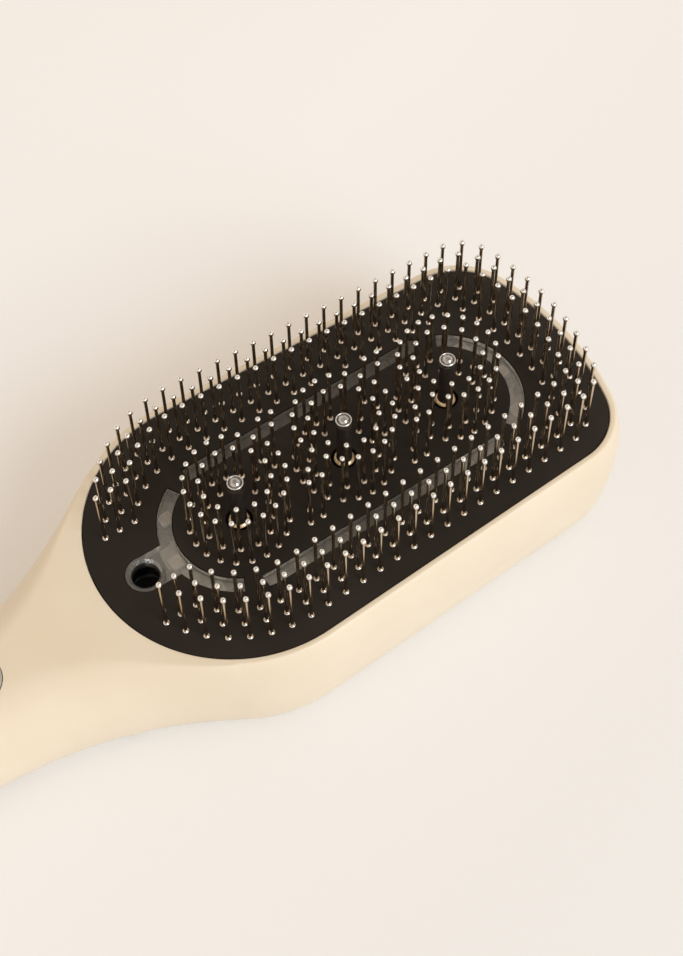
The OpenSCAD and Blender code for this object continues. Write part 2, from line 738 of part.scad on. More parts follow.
// The ring's mouth is as wide as the ball is at its top, so a little of the ball stands out
mouth_h = 0.72;
mouth_d = 2 * sqrt(pow(ball_d / 2, 2) - pow(mouth_h, 2)) + 2 * run_fit;
module nozzle_ring(x) {
    color("#d8d2cc") translate([x, 0, 0]) difference() {
        union() {
            at_z(ball_z - 0.9) cylinder(d = post_d + 0.4, h = 1.42);
            at_z(ball_z + 0.52) cylinder(d1 = post_d + 0.4, d2 = post_d, h = 0.2);
        }
        at_z(ball_z - 2) cylinder(d = ball_d + 2 * run_fit, h = 2);
        at_z(ball_z) cylinder(d1 = ball_d + 2 * run_fit, d2 = mouth_d, h = mouth_h);
        at_z(ball_z + mouth_h - 0.02) cylinder(d = mouth_d, h = 1);
    }
}
module valve(x) {
    color("#b9b4ae") translate([x, 0, post_z + foot_t + spring_h])
        cylinder(d = valve_d, h = seat_z - post_z - foot_t - spring_h);
}
module roller_ball(x) {
    color("#dcd8d4") translate([x, 0, ball_z]) sphere(d = ball_d);
}
wire_r = 0.14;
coils = 6;
module spring(x) {
    r = valve_d / 2 - wire_r - 0.03;
    steps = coils * 8;
    rise = spring_h - 2 * wire_r;
    points = [
        for (i = [0:steps], j = [0:5])
            let (a = 45 * i, b = 60 * j, q = r + wire_r * cos(b))
            [q * cos(a), q * sin(a), wire_r + rise * i / steps + wire_r * sin(b)]
    ];
    faces = concat(
        [for (i = [0:steps - 1], j = [0:5])
            let (k = (j + 1) % 6, a = 6 * i)
            each [[a + j, a + k, a + 6 + k], [a + j, a + 6 + k, a + 6 + j]]],
        [[5, 4, 3, 2, 1, 0]],
        [[for (j = [0:5]) steps * 6 + j]]
    );
    color("#c8c4bf") translate([x, 0, post_z + foot_t]) polyhedron(points = points, faces = faces);
}
module near_post() {
    post(nozzles[0]);
}
module middle_post() {
    post(nozzles[1]);
}
module far_post() {
    post(nozzles[2]);
}
module near_bush() {
    bush(nozzles[0]);
}
module middle_bush() {
    bush(nozzles[1]);
}
module far_bush() {
    bush(nozzles[2]);
}
module near_nozzle_ring() {
    nozzle_ring(nozzles[0]);
}
module middle_nozzle_ring() {
    nozzle_ring(nozzles[1]);
}
module far_nozzle_ring() {
    nozzle_ring(nozzles[2]);
}
module near_valve() {
    valve(nozzles[0]);
}
module middle_valve() {
    valve(nozzles[1]);
}
module far_valve() {
    valve(nozzles[2]);
}
module near_spring() {
    spring(nozzles[0]);
}
module middle_spring() {
    spring(nozzles[1]);
}
module far_spring() {
    spring(nozzles[2]);
}
module near_ball() {
    roller_ball(nozzles[0]);
}
module middle_ball() {
    roller_ball(nozzles[1]);
}
module far_ball() {
    roller_ball(nozzles[2]);
}

// The power button in its ring, over the switch on the main board
bezel_rise = 0.5;
bezel_edge = 0.3;
cap_edge = 0.4;
cap_drop = 0.2;
flange_t = 0.7;
flange_z = -seat_deep - sleeve_h - 0.1 - flange_t;
stem_d = 2;
stem_l = 0.6;
stem_z = flange_z - stem_l;
stem_c = [button_c[0] - stem_z * sin(button_tilt), crest_z(button_c[0]) + stem_z * cos(button_tilt)];
plunger_d = 3.2;
plunger_z = stem_c[1] - stem_d / 2;
plunger_l = 1.6;
plunger_fit = 0.15;
switch_top = plunger_z - 0.8;
module button_bezel() {
    color("#c4bfba") on_crown() difference() {
        union() {
            at_z(-seat_deep) cylinder(d = bezel_d, h = seat_deep + bezel_rise - bezel_edge);
            at_z(bezel_rise - bezel_edge)
                cylinder(d1 = bezel_d, d2 = bezel_d - 2 * bezel_edge, h = bezel_edge);
            at_z(-seat_deep - sleeve_h) cylinder(d = bezel_hole_d, h = sleeve_h + 0.2);
        }
        at_z(-seat_deep - sleeve_h - 1) cylinder(d = cap_d + 2 * run_fit, h = 8);
    }
}
module power_button() {
    cap_top = bezel_rise - cap_drop;
    color("#e9d5b8") on_crown() {
        at_z(flange_z) cylinder(d = bezel_hole_d - 0.3, h = flange_t);
        at_z(flange_z + flange_t) cylinder(d = cap_d, h = cap_top - cap_edge - flange_z - flange_t);
        at_z(cap_top - cap_edge) cylinder(d1 = cap_d, d2 = cap_d - 1, h = cap_edge);
        at_z(stem_z) cylinder(d = stem_d, h = stem_l);
        at_z(stem_z) sphere(d = stem_d);
    }
}
module switch_plunger() {
    color("#2b2b2b") translate([stem_c[0], 0, plunger_z - plunger_l])
        cylinder(d = plunger_d, h = plunger_l);
}
module tact_switch() {
    color("#8d9194") translate([stem_c[0], 0, board_top]) difference() {
        translate([-3, -3, 0]) cube([6, 6, switch_top - board_top]);
        at_z(plunger_z - plunger_l - button_travel - 0.2 - board_top)
            cylinder(d = plunger_d + 2 * plunger_fit, h = 4);
    }
}

// The main board under the handle's roof, with its screws, cell and charging socket
board_x = [tip_x + 5.5, button_c[0] + 17];
module main_board() {
    color("#2f5d46") difference() {
        translate([board_x[0], -board_w / 2, board_z]) cube([board_x[1] - board_x[0], board_w, board_t]);
        for (x = board_boss_x)
            translate([x, 0, board_z - 1])
                cylinder(d = board_screw_d + 2 * drop_fit, h = board_t + 2);
        for (s = [-1, 1])
            translate([board_x[0], s * board_w / 2, board_z - 1]) cylinder(r = 4.4, h = board_t + 2);
    }
}
part_size = [[6, 5, 1.6], [9, 9, 1.2], [5, 5, 2.4], [4, 7, 1.8]];
charge_parts_x = 12;
switch_parts_x = 16;
part_step = [18, 10];
part_x = [
    tail_c[0] + charge_parts_x, tail_c[0] + charge_parts_x + part_step[0],
    button_c[0] - switch_parts_x, button_c[0] - switch_parts_x + part_step[1]
];
module board_parts() {
    color("#25282b") for (i = [0:3])
        translate([part_x[i] - part_size[i][0] / 2, -part_size[i][1] / 2, board_top])
            cube(part_size[i]);
}
board_screw_d = 1.3;
board_head_d = 2.8;
board_head_h = 0.9;
module board_screws() {
    color("#9a9a98") for (x = board_boss_x)
        translate([x, 0, board_z]) {
            at_z(-board_head_h) cylinder(d = board_head_d, h = board_head_h);
            cylinder(d = board_screw_d, h = board_t + 2 * board_screw_d);
        }
}
module battery_cell() {
    color("#4a6b8a") translate([cell_x, 0, cell_z]) rotate([0, 90, 0]) {
        cylinder(d = cell_d, h = cell_l - 1);
        at_z(cell_l - 1) cylinder(d = 5, h = 1);
    }
}
module charge_socket() {
    color("#a9a9ab") translate([tip_x + 1.3, 0, socket_z]) rotate([90, 0, 90]) difference() {
        linear_extrude(7.3) socket_outline(0);
        at_z(-1) linear_extrude(6.5) difference() {
            socket_outline(-0.35);
            square([socket_w - 2.6, 0.7], center = true);
        }
    }
}

// The vibration motor in its cradle, and its shaft with the off-centre weight
shaft_d = 1;
module motor_can() {
    color("#b5b5b5") translate([motor_x, 0, motor_z]) rotate([0, 90, 0]) difference() {
        cylinder(d = motor_d, h = motor_l);
        at_z(motor_l - 4) cylinder(d = shaft_d + 2 * run_fit, h = 5);
    }
}
module motor_rotor() {
    color("#8c8478") translate([motor_x + motor_l - 3.5, 0, motor_z]) rotate([0, 90, 0]) {
        cylinder(d = shaft_d, h = 8.5);
        at_z(4.2) intersection() {
            cylinder(d = motor_d - 0.6, h = 4);
            translate([-0.4, -5, -1]) cube([5, 10, 6]);
        }
    }
}

front_housing();
rear_housing();
housing_screws();
pin_plate();
pins_left_rows();
pins_right_rows();
pins_far_end();
pins_near_ring();
pins_middle_ring();
pins_far_ring();
pins_bridges();
light_guide();
led_board();
led_chips();
led_ribbon();
serum_tank();
tank_gasket();
tank_lid();
near_post();
middle_post();
far_post();
near_bush();
middle_bush();
far_bush();
near_nozzle_ring();
middle_nozzle_ring();
far_nozzle_ring();
near_valve();
middle_valve();
far_valve();
near_spring();
middle_spring();
far_spring();
near_ball();
middle_ball();
far_ball();
button_bezel();
power_button();
switch_plunger();
tact_switch();
main_board();
board_parts();
board_screws();
battery_cell();
charge_socket();
motor_can();
motor_rotor();
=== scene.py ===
import json

import bmesh
import bpy
import numpy as np
from mathutils import Matrix, Vector


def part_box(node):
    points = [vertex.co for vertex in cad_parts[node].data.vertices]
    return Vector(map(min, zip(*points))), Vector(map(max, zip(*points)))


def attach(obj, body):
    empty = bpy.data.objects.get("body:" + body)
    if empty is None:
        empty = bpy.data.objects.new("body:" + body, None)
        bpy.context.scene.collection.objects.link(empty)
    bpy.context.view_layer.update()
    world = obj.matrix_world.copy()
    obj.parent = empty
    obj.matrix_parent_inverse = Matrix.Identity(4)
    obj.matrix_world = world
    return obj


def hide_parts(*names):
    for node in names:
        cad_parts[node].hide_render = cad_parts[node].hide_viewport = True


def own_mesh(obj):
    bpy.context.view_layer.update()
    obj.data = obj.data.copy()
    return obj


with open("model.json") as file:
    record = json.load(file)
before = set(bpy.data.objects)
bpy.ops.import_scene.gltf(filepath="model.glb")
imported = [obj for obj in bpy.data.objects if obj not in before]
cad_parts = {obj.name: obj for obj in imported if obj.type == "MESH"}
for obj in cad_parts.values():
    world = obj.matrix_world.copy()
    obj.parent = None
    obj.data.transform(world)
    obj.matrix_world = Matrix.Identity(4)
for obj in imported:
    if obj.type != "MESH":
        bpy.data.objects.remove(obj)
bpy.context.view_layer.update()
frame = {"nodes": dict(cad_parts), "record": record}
scene = bpy.context.scene
scene.view_settings.view_transform = "Standard"


# The view
# A fixed lens looks down on the head from above the near side of the handle. The picture is
# upright, so the sensor's long side is its height.
lens_mm = 67.17
sensor_mm = 36.0
eye_mm = Vector((-55.7, -174.2, 354.1))
picture_right = Vector((0.8229, -0.5681, -0.0117)).normalized()
nearly_down = Vector((-0.4854, -0.6921, -0.5342)).normalized()
clip_mm = 10
MM = 0.001

camera = bpy.data.objects.new("camera", bpy.data.cameras.new("camera"))
camera.data.lens = lens_mm
camera.data.sensor_width = sensor_mm
camera.data.clip_start = clip_mm * MM
picture_in = picture_right.cross(nearly_down).normalized()
picture_down = picture_in.cross(picture_right)
turned = Matrix((picture_right, -picture_down, -picture_in)).transposed().to_4x4()
camera.matrix_world = Matrix.Translation(eye_mm * MM) @ turned
scene.collection.objects.link(camera)
scene.camera = camera


# The studio
# The brush lies on a plain pale floor. One broad lamp stands on the brush's near side and the
# room's own light is a little warm, so what faces away from the lamp turns warm as well.
floor_far = (0.925, 0.94, 0.97, 1)
# The near and lamp-side floor colours are painted shade
floor_near_painted_shade = (0.83, 0.84, 0.86, 1)
floor_lamp_painted_shade = (0.42, 0.425, 0.435, 1)
# The paper's colour is painted darker from behind the brush towards the lamp: painted shade that keeps
# the lit floor evenly pale and darkens it by the brush's near side
to_lamp = (0.3, -0.95, 0)
floor_fade_mm = (-60, 1500)
floor_shade_stops = ((0.0, floor_far), (0.1, floor_near_painted_shade), (0.28, floor_near_painted_shade), (0.75, floor_lamp_painted_shade))
room_colour = (0.78, 0.66, 0.535, 1)
mirror_low = (1.0, 0.96, 0.91, 1)
mirror_high = (0.50, 0.465, 0.43, 1)
mirror_fade = (0.35, 0.9)
lamp_colour = (0.83, 0.92, 1.0)
lamp_watts = 18.5
lamp_size_mm = 1150
lamp_mm = Vector((450, -1400, 1050))
aim_mm = Vector((40, 0, 20))
floor_half_mm = 2500


class Wire:
    """One output of a shader node. Arithmetic on it adds Math nodes, and node adds any other."""

    def __init__(self, socket):
        self.socket = socket

    def node(self, kind, settings, inputs, output=0):
        """Adds a node to this wire's tree: settings first, then a value or wire for each input."""
        tree = self.socket.id_data
        made = tree.nodes.new(kind)
        for name, value in settings.items():
            if name == "stops":
                ramp = made.color_ramp
                while len(ramp.elements) < len(value):
                    ramp.elements.new(1)
                for element, (place, colour) in zip(ramp.elements, value):
                    element.position = place
                    element.color = colour
            else:
                setattr(made, name, value)
        for key, value in inputs.items():
            if isinstance(value, Wire):
                tree.links.new(value.socket, made.inputs[key])
            else:
                made.inputs[key].default_value = value
        return Wire(made.outputs[output])

    def math(self, operation, first, second=0.0):
        """A Math node on two values, either of which may be a wire."""
        return self.node("ShaderNodeMath", {"operation": operation}, {0: first, 1: second})

    def __add__(self, other):
        return self.math("ADD", self, other)

    def __sub__(self, other):
        return self.math("SUBTRACT", self, other)

    def __mul__(self, other):
        return self.math("MULTIPLY", self, other)

    def __pow__(self, other):
        return self.math("POWER", self, other)

    def __rsub__(self, other):
        return self.math("SUBTRACT", other, self)

    def __abs__(self):
        return self.math("ABSOLUTE", self)

    __radd__ = __add__

    def at_least(self, other):
        """The greater of this wire and another value."""
        return self.math("MAXIMUM", self, other)

    def between(self, low, high):
        """0 below low, 1 above high, straight in between."""
        inputs = {"Value": self, "From Min": low, "From Max": high}
        return self.node("ShaderNodeMapRange", {"clamp": True}, inputs)

    def between_mm(self, low, high):
        """The same for a length, with both ends in millimetres."""
        return self.between(low * MM, high * MM)

    def noise(self, scale, detail=2.0, roughness=0.5):
        """Soft noise of about scale lumps to a metre, from 0 to 1."""
        inputs = {"Vector": self, "Scale": scale, "Detail": detail, "Roughness": roughness}
        return self.node("ShaderNodeTexNoise", {}, inputs)

    def tint(self, first, second):
        """The colour first where this wire is 0 and second where it is 1."""
        return self.node("ShaderNodeMix", {"data_type": "RGBA"}, {0: self, 6: first, 7: second}, 2)

    def along(self, direction):
        """How far this wire's vector reaches in a direction."""
        settings = {"operation": "DOT_PRODUCT"}
        return self.node("ShaderNodeVectorMath", settings, {0: self, 1: direction}, 1)

    def bump(self, height_mm, strength=1.0, edge_mm=0.0):
        """A normal that takes this wire as a height, of height_mm where it is 1. It first turns
        softly over the piece's edges, where edge_mm is their radius."""
        inputs = {"Height": self, "Distance": height_mm * MM, "Strength": strength}
        if edge_mm:
            inputs["Normal"] = self.node("ShaderNodeBevel", {"samples": 6}, {"Radius": edge_mm * MM})
        return self.node("ShaderNodeBump", {}, inputs)


def finish(name, **constants):
    """A new material: its Principled node's inputs by name, and a wire of object coordinates."""
    material = bpy.data.materials.new(name)
    material.use_nodes = True
    shader = material.node_tree.nodes["Principled BSDF"]
    for key, value in constants.items():
        shader.inputs[key.replace("_", " ")].default_value = value
    source = material.node_tree.nodes.new("ShaderNodeTexCoord")
    return material, shader, Wire(source.outputs["Object"])


def feed(shader, **wires):
    """Links wires to a shader's inputs by name."""
    for key, wire in wires.items():
        wire.socket.id_data.links.new(wire.socket, shader.inputs[key.replace("_", " ")])


floor_mesh = bpy.data.meshes.new("floor")
corners = np.array([[-1, -1, 0], [1, -1, 0], [1, 1, 0], [-1, 1, 0]]) * floor_half_mm * MM
floor_mesh.from_pydata(corners.tolist(), [], [(0, 1, 2, 3)])
floor = bpy.data.objects.new("floor", floor_mesh)
scene.collection.objects.link(floor)
paper, paper_shader, paper_place = finish("floor_paper", Roughness=0.85, Specular_IOR_Level=0.2)
# The floor's colour ramp is painted shade, darker towards the lamp and by the brush's near side
nearness = paper_place.along(to_lamp).between_mm(*floor_fade_mm)
shaded = nearness.node("ShaderNodeValToRGB", {"stops": floor_shade_stops}, {"Fac": nearness})
feed(paper_shader, Base_Color=shaded)
feed(paper_shader, Normal=paper_place.noise(900, 3).bump(0.05, 0.3))
floor.data.materials.append(paper)

world = bpy.data.worlds.new("room")
world.use_nodes = True
scene.world = world
sky = world.node_tree.nodes["Background"]
rays = world.node_tree.nodes.new("ShaderNodeLightPath").outputs
seen = Wire(rays["Is Camera Ray"]) + Wire(rays["Is Glossy Ray"]) + Wire(rays["Is Transmission Ray"])
upward = Wire(world.node_tree.nodes.new("ShaderNodeTexCoord").outputs["Generated"]).along((0, 0, 1))
mirrored = upward.between(*mirror_fade).tint(mirror_low, mirror_high)
feed(sky, Color=seen.between(0, 1).tint(room_colour, mirrored))

lamp = bpy.data.objects.new("lamp", bpy.data.lights.new("lamp", "AREA"))
lamp.data.shape = "DISK"
lamp.data.size = lamp_size_mm * MM
lamp.data.energy = lamp_watts
lamp.data.color = lamp_colour
lamp.location = lamp_mm * MM
lamp.rotation_euler = (aim_mm - lamp_mm).to_track_quat("-Z", "Y").to_euler()
scene.collection.objects.link(lamp)


# Front housing
# The body's upper shell is one cream moulding, from the parting line over its sides to the
# rounded lip that the pin plate sits in, and along the neck and handle to the round tail.
wall = 2.0
body_top = 31.0
lip_z = 31.4
side_bulge = 3.0
head_level = 8.0
head_round = 5.0
split_z = 3.0
handle_z = 11.0
handle_round = 10.0
crown_z = 26.0
neck_fall = 43.0
waist_w = 27.0
flare = np.radians(2.0)
neck_r = 115.0
plate_r = 32.5
taper = np.radians(2.3)
corner_r = 14.0
bow_r = 70.0
lip_w = 1.15
lip_gap = 0.2
# The lip's inner edge as distances from the plate and heights
lip_profile = [[0.2, 30.95], [0.23, 31.17], [0.32, 31.3], [0.45, 31.355], [0.7, 31.38], [1.0, 31.395]]
crest_w = 1.2
crest_fade = 6.0
crest_stop = 0.12
blend_start = 6.0
blend_stop = 12.0
ledge_z = 29.0
ledge_w = 1.8
roof_z = 27.0
parting_chamfer = 0.2
merge_mm = 0.002
sliver_mm = 0.0005
shell_colour = (0.79, 0.70, 0.56, 1)
shell_shade = (0.77, 0.675, 0.53, 1)

plate_low, plate_high = (np.array(corner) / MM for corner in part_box("pin_plate"))
body_low = np.array(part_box("front_housing")[0]) / MM
round_c = np.array([plate_low[0] + plate_r, 0.0])
bow_c = np.array([plate_high[0] - bow_r, 0.0])
side_a = np.pi / 2 - taper
side_n = np.array([np.sin(taper), np.cos(taper)])
side_t = np.array([np.cos(taper), -np.sin(taper)])
start = round_c + side_n * (plate_r - corner_r) - bow_c
side_l = -start @ side_t + np.sqrt((start @ side_t) ** 2 - start @ start + (bow_r - corner_r) ** 2)
corner_c = bow_c + start + side_t * side_l
bow_a = np.arctan2(corner_c[1], corner_c[0] - bow_c[0])
head_r = plate_r + side_bulge
neck_a = np.pi - np.arcsin((waist_w / 2 + neck_r) / (head_r + neck_r))
neck_c = round_c + (head_r + neck_r) * np.array([np.cos(neck_a), np.sin(neck_a)])
neck_end = neck_c - neck_r * np.array([np.sin(flare), np.cos(flare)])
tail_spread = neck_end[1] * np.cos(flare) + (neck_end[0] - body_low[0]) * np.sin(flare)
tail_r = tail_spread / (1 + np.sin(flare))
tail_c = np.array([body_low[0] + tail_r, 0.0])


def around(angles):
    """Unit vectors at the angles, one a row."""
    return np.stack([np.cos(angles), np.sin(angles)], axis=-1)


def head_outline(last, counts):
    """Half of the plate's outline as points and outward normals: the bowed far edge, the corner,
    the straight side, and the round end up to its angle last, with so many points on each."""
    bow = around(np.linspace(0, bow_a, counts[0]))
    corner = around(np.linspace(bow_a, side_a, counts[1])[1:])
    end = around(np.linspace(side_a, last, counts[3]))
    share = np.linspace(0, 1, counts[2] + 2)[1:-1, None]
    side_0 = corner_c + corner_r * side_n
    side_1 = round_c + plate_r * side_n
    side = side_0 + (side_1 - side_0) * share
    points = [bow_c + bow_r * bow, corner_c + corner_r * corner, side, round_c + plate_r * end]
    normals = [bow, corner, np.broadcast_to(side_n, side.shape), end]
    return np.concatenate(points), np.concatenate(normals)


def smooth(share):
    """From 0 to 1 with level ends: 3 s squared less 2 s cubed."""
    share = np.clip(share, 0, 1)
    return share * share * (3 - 2 * share)


def headness(x):
    """1 at the head and 0 along the handle, blended between two places on the neck."""
    start_x = neck_c[0] + blend_start
    stop_x = round_c[0] - blend_stop
    return smooth((x - start_x) / (stop_x - start_x))


def wide_z(x):
    """Height of the body's widest line."""
    return handle_z + (body_top - head_level - handle_z) * headness(x)


def under_w(x):
    """Width of the rounding under the widest line."""
    return handle_round + (head_round - handle_round) * headness(x)


def crest_z(x):
    """Height of the lip, and of the crown behind it."""
    return lip_z - (lip_z - crown_z) * smooth((plate_low[0] - lip_w - x) / neck_fall)


def crest_y(x):
    """Half width of the level crest behind the head. It is the lip's circle, softened so that it
    runs out along the neck: the root of w^2 + f ln(1 + e^(d/f)) (2r - d), where d is the distance
    past the circle's end, r its radius, w the crest's least width and f its fade."""
    d = x - round_c[0] + lip_r
    run = crest_fade * np.log1p(np.exp(d / crest_fade))
    return np.sqrt(crest_w**2 + run * (2 * lip_r - d))


# Ribs of the half body: widest point, its normal, the crest point, and the plate's edge below it
plate_edge, plate_n = head_outline(neck_a, (14, 18, 16, 36))
head_wide = plate_edge + side_bulge * plate_n
head_crest = plate_edge + lip_w * plate_n
lip_r = plate_r + lip_w
lip_first = np.arccos((head_wide[-1, 0] - round_c[0]) / lip_r)
lip_n = around(np.linspace(lip_first, np.pi, 34)[1:])
lip_x = round_c[0] + lip_r * lip_n[:, 0]
neck_x = np.linspace(lip_x[-1], neck_end[0], 44)[1:]

# The neck's outline lies on its circle, from the head to the handle's straight side
outline_x = np.concatenate([lip_x, neck_x])
outline_y = neck_c[1] - np.sqrt(neck_r**2 - (outline_x - neck_c[0]) ** 2)
neck_wide = np.stack([outline_x, outline_y], axis=-1)
neck_n = (neck_c - neck_wide) / neck_r
tail_n = around(np.linspace(np.pi / 2 - flare, np.pi, 30))
tail_wide = tail_c + tail_r * tail_n
handle_share = np.linspace(0, 1, 46)[1:-1, None]
handle_wide = neck_wide[-1] + (tail_wide[0] - neck_wide[-1]) * handle_share
handle_n = np.broadcast_to(tail_n[0], handle_wide.shape)
wide = np.concatenate([head_wide, neck_wide, handle_wide, tail_wide])
wide_n = np.concatenate([plate_n, neck_n, handle_n, tail_n])
wide[-1, 1] = 0
wide_n[-1, 1] = 0
tail_x = tail_c[0] + crest_stop * (tail_wide[:, 0] - tail_c[0])
spine_x = np.concatenate([neck_x, handle_wide[:, 0], tail_x])
spine = np.stack([spine_x, np.zeros_like(spine_x)], axis=-1)
lip_crest = round_c + lip_r * lip_n
lip_crest[-1, 1] = 0
crest_end = np.concatenate([head_crest, lip_crest, spine])
crest = crest_end.copy()
crest[len(head_crest) :, 1] = crest_y(crest[len(head_crest) :, 0])
crest[-len(tail_n) :, 1] *= tail_n[:, 1] / tail_n[0, 1]
crest[-1, 1] = 0
lip_edge = np.concatenate([plate_edge, round_c + plate_r * lip_n])
lip_out = np.concatenate([plate_n, lip_n])
lip_out[-1, 1] = 0
lip_edge[-1, 1] = 0
lip_count = len(lip_edge)


def joined(plan, height):
    """Points from plan places (..., 2) and heights (...)."""
    height = np.broadcast_to(height, plan.shape[:-1])
    return np.concatenate([plan, height[..., None]], axis=-1)


def under_points(angles, inset):
    """Below the widest line each rib is a quarter ellipse: in by w(1 - cos u), down by z sin u."""
    drop = wide_z(wide[:, 0])[:, None]
    turn = under_w(wide[:, 0])[:, None]
    off = turn * (1 - np.cos(angles)) + inset
    plan = wide[:, None] - wide_n[:, None] * off[..., None]
    return joined(plan, drop * (1 - np.sin(angles)))


def shoulder_points(angles, outer, inner, top):
    """Above the widest line each rib is a quarter ellipse in plan and height, up to its crest."""
    plan = outer[:, None] + (inner - outer)[:, None] * (1 - np.cos(angles))[..., None]
    low = wide_z(wide[:, 0])[:, None]
    return joined(plan, low + (top[:, None] - low) * np.sin(angles))


def seam_angle(z):
    """Angle at which each rib's underside is at the height z."""
    drop = wide_z(wide[:, 0])
    return np.arcsin(np.clip((drop - z) / drop, 0, 1))


def quads(rows, columns, wrap=False):
    """Faces of a grid of points that is stored row by row. wrap joins the last column to the first."""
    row = np.arange(rows - 1)[:, None] * columns
    column = np.arange(columns if wrap else columns - 1)[None]
    after = (column + 1) % columns
    corners = [row + column, row + after, row + columns + after, row + columns + column]
    return np.stack(corners, axis=-1).reshape(-1, 4)


def mesh_of(name, points, faces):
    """A mesh in metres from points in millimetres, with doubles merged and faces turned outwards."""
    mesh = bpy.data.meshes.new(name)
    mesh.from_pydata((np.asarray(points).reshape(-1, 3) * MM).tolist(), [], faces)
    edit = bmesh.new()
    edit.from_mesh(mesh)
    bmesh.ops.remove_doubles(edit, verts=edit.verts, dist=merge_mm * MM)
    bmesh.ops.dissolve_degenerate(edit, edges=edit.edges, dist=sliver_mm * MM)
    bmesh.ops.recalc_face_normals(edit, faces=edit.faces)
    edit.to_mesh(mesh)
    edit.free()
    return mesh


def piece(name, mesh, material, body, node, sharp=35):
    """Adds a finished piece that rides on a body and stands for a CAD node. It is shaded smooth
    where its faces meet at less than sharp degrees."""
    made = bpy.data.objects.new(name, mesh)
    scene.collection.objects.link(made)
    mesh.shade_smooth()
    mesh.set_sharp_from_angle(angle=np.radians(sharp))
    mesh.materials.append(material)
    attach(made, body)
    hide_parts(node)
    return made


def combined(*parts):
    """Several pairs of points and faces as one."""
    starts = np.cumsum([0] + [len(points) for points, faces in parts])
    every = np.concatenate([points for points, faces in parts])
    return every, np.concatenate([faces + shift for (points, faces), shift in zip(parts, starts)])


def both_halves(points, faces):
    """A half mesh and its mirror image across the plane through the handle."""
    points = np.asarray(points).reshape(-1, 3)
    mirror = points * [1, -1, 1]
    turned_faces = np.asarray(faces)[:, ::-1] + len(points)
    return np.concatenate([points, mirror]), np.concatenate([faces, turned_faces]).tolist()


under_share = np.linspace(0, 1, 9)[None]
seam_low = seam_angle(split_z)[:, None]
seam_high = seam_angle(split_z + parting_chamfer)[:, None]
outer_under = under_points(seam_high * (1 - under_share), 0)
seam_rim = under_points(seam_low, parting_chamfer)
shoulder = np.linspace(0, np.pi / 2, 24)[None, 1:]
outer_shoulder = shoulder_points(shoulder, wide, crest, crest_z(crest[:, 0]))
top_share = np.linspace(0, 1, 5)[None, 1:, None]
top_plan = crest[:, None] + (crest_end - crest)[:, None] * top_share
outer_top = joined(top_plan, crest_z(crest[:, 0])[:, None])
outer_chain = np.concatenate([seam_rim, outer_under, outer_shoulder, outer_top], axis=1)

inner_crest = crest - [0, wall]
inner_crest[: len(head_crest)] = head_crest - wall * plate_n
inner_crest[:, 1] = np.maximum(inner_crest[:, 1], 0)
inner_end = inner_crest.copy()
inner_end[lip_count - 1 :, 1] = 0
roof = wall + (lip_z - roof_z - wall) * headness(crest[:, 0])
inner_top = crest_z(crest[:, 0]) - roof
inner_angles = np.linspace(np.pi / 2, 0, 12)[None]
inner_wide = wide - wall * wide_n
inner_wide[-1, 1] = 0
inner_shoulder = shoulder_points(inner_angles, inner_wide, inner_crest, inner_top)
inner_under = under_points(seam_low * np.linspace(0, 1, 5)[None, 1:], wall)
inner_roof = joined(inner_end, inner_top)[:, None]
inner_chain = np.concatenate([inner_roof, inner_shoulder, inner_under], axis=1)

lip_offsets, lip_heights = np.array(lip_profile[::-1] + [[lip_gap, ledge_z], [-ledge_w, ledge_z]]).T
lip_band = joined(lip_edge[:, None] + lip_out[:, None] * lip_offsets[:, None], lip_heights)
opening_rim = joined(lip_edge - ledge_w * lip_out, inner_top[:lip_count])[:, None]
head_part = np.concatenate(
    [outer_chain[:lip_count], lip_band, opening_rim, inner_chain[:lip_count]], axis=1
)
handle_outer = outer_chain[lip_count - 1 :]
handle_inner = inner_chain[lip_count - 1 :]
handle_rim = np.stack([handle_inner[:, -1], handle_outer[:, 0]], axis=1)

sheets = ((head_part, True), (handle_outer, False), (handle_inner, False), (handle_rim, False))
grids = [(sheet.reshape(-1, 3), quads(len(sheet), sheet.shape[1], wrap)) for sheet, wrap in sheets]
shell_mesh = mesh_of("front_shell", *both_halves(*combined(*grids)))


def mottled(name, first, second, lumps, smooth_to_rough, relief=None, **constants):
    """A finish that drifts between two colours, in so many lumps to a metre, and between two
    roughnesses in finer lumps. A relief is its own lumps to a metre, its height in millimetres,
    its strength and, where they look rounded, the radius of the piece's edges."""
    material, shader, place = finish(name, **constants)
    feed(shader, Base_Color=place.noise(lumps, 3).between(0.35, 0.65).tint(first, second))
    low, high = smooth_to_rough
    feed(shader, Roughness=low + place.noise(lumps * 3, 2) * (high - low))
    if relief:
        feed(shader, Normal=place.noise(relief[0], 2, 0.6).bump(*relief[1:]))
    return material


cream = mottled(
    "cream_plastic", shell_colour, shell_shade, 60, (0.34, 0.46), (4200, 0.012, 0.35),
    Specular_IOR_Level=0.4,
)
front_housing = piece("front_shell", shell_mesh, cream, "brush", "front_housing")


# Pin plate
# The pins, nozzles and windows come up through one flat plate of fine matt black-brown plastic,
# which drops into the lip and is pressed down on the ledge below it.
face_z = plate_high[2]
plate_z = plate_low[2]
plate_colour = (0.0215, 0.0168, 0.0134, 1)
plate_worn = (0.029, 0.0232, 0.0188, 1)

matt = mottled(
    "matt_black_brown", plate_colour, plate_worn, 40, (0.42, 0.58), (6500, 0.01, 0.5, 0.3),
    Specular_IOR_Level=0.12,
)


def dress(node, material):
    """Gives a CAD node its material."""
    slots = frame["nodes"][node].data.materials
    slots.clear()
    slots.append(material)


dress("pin_plate", matt)


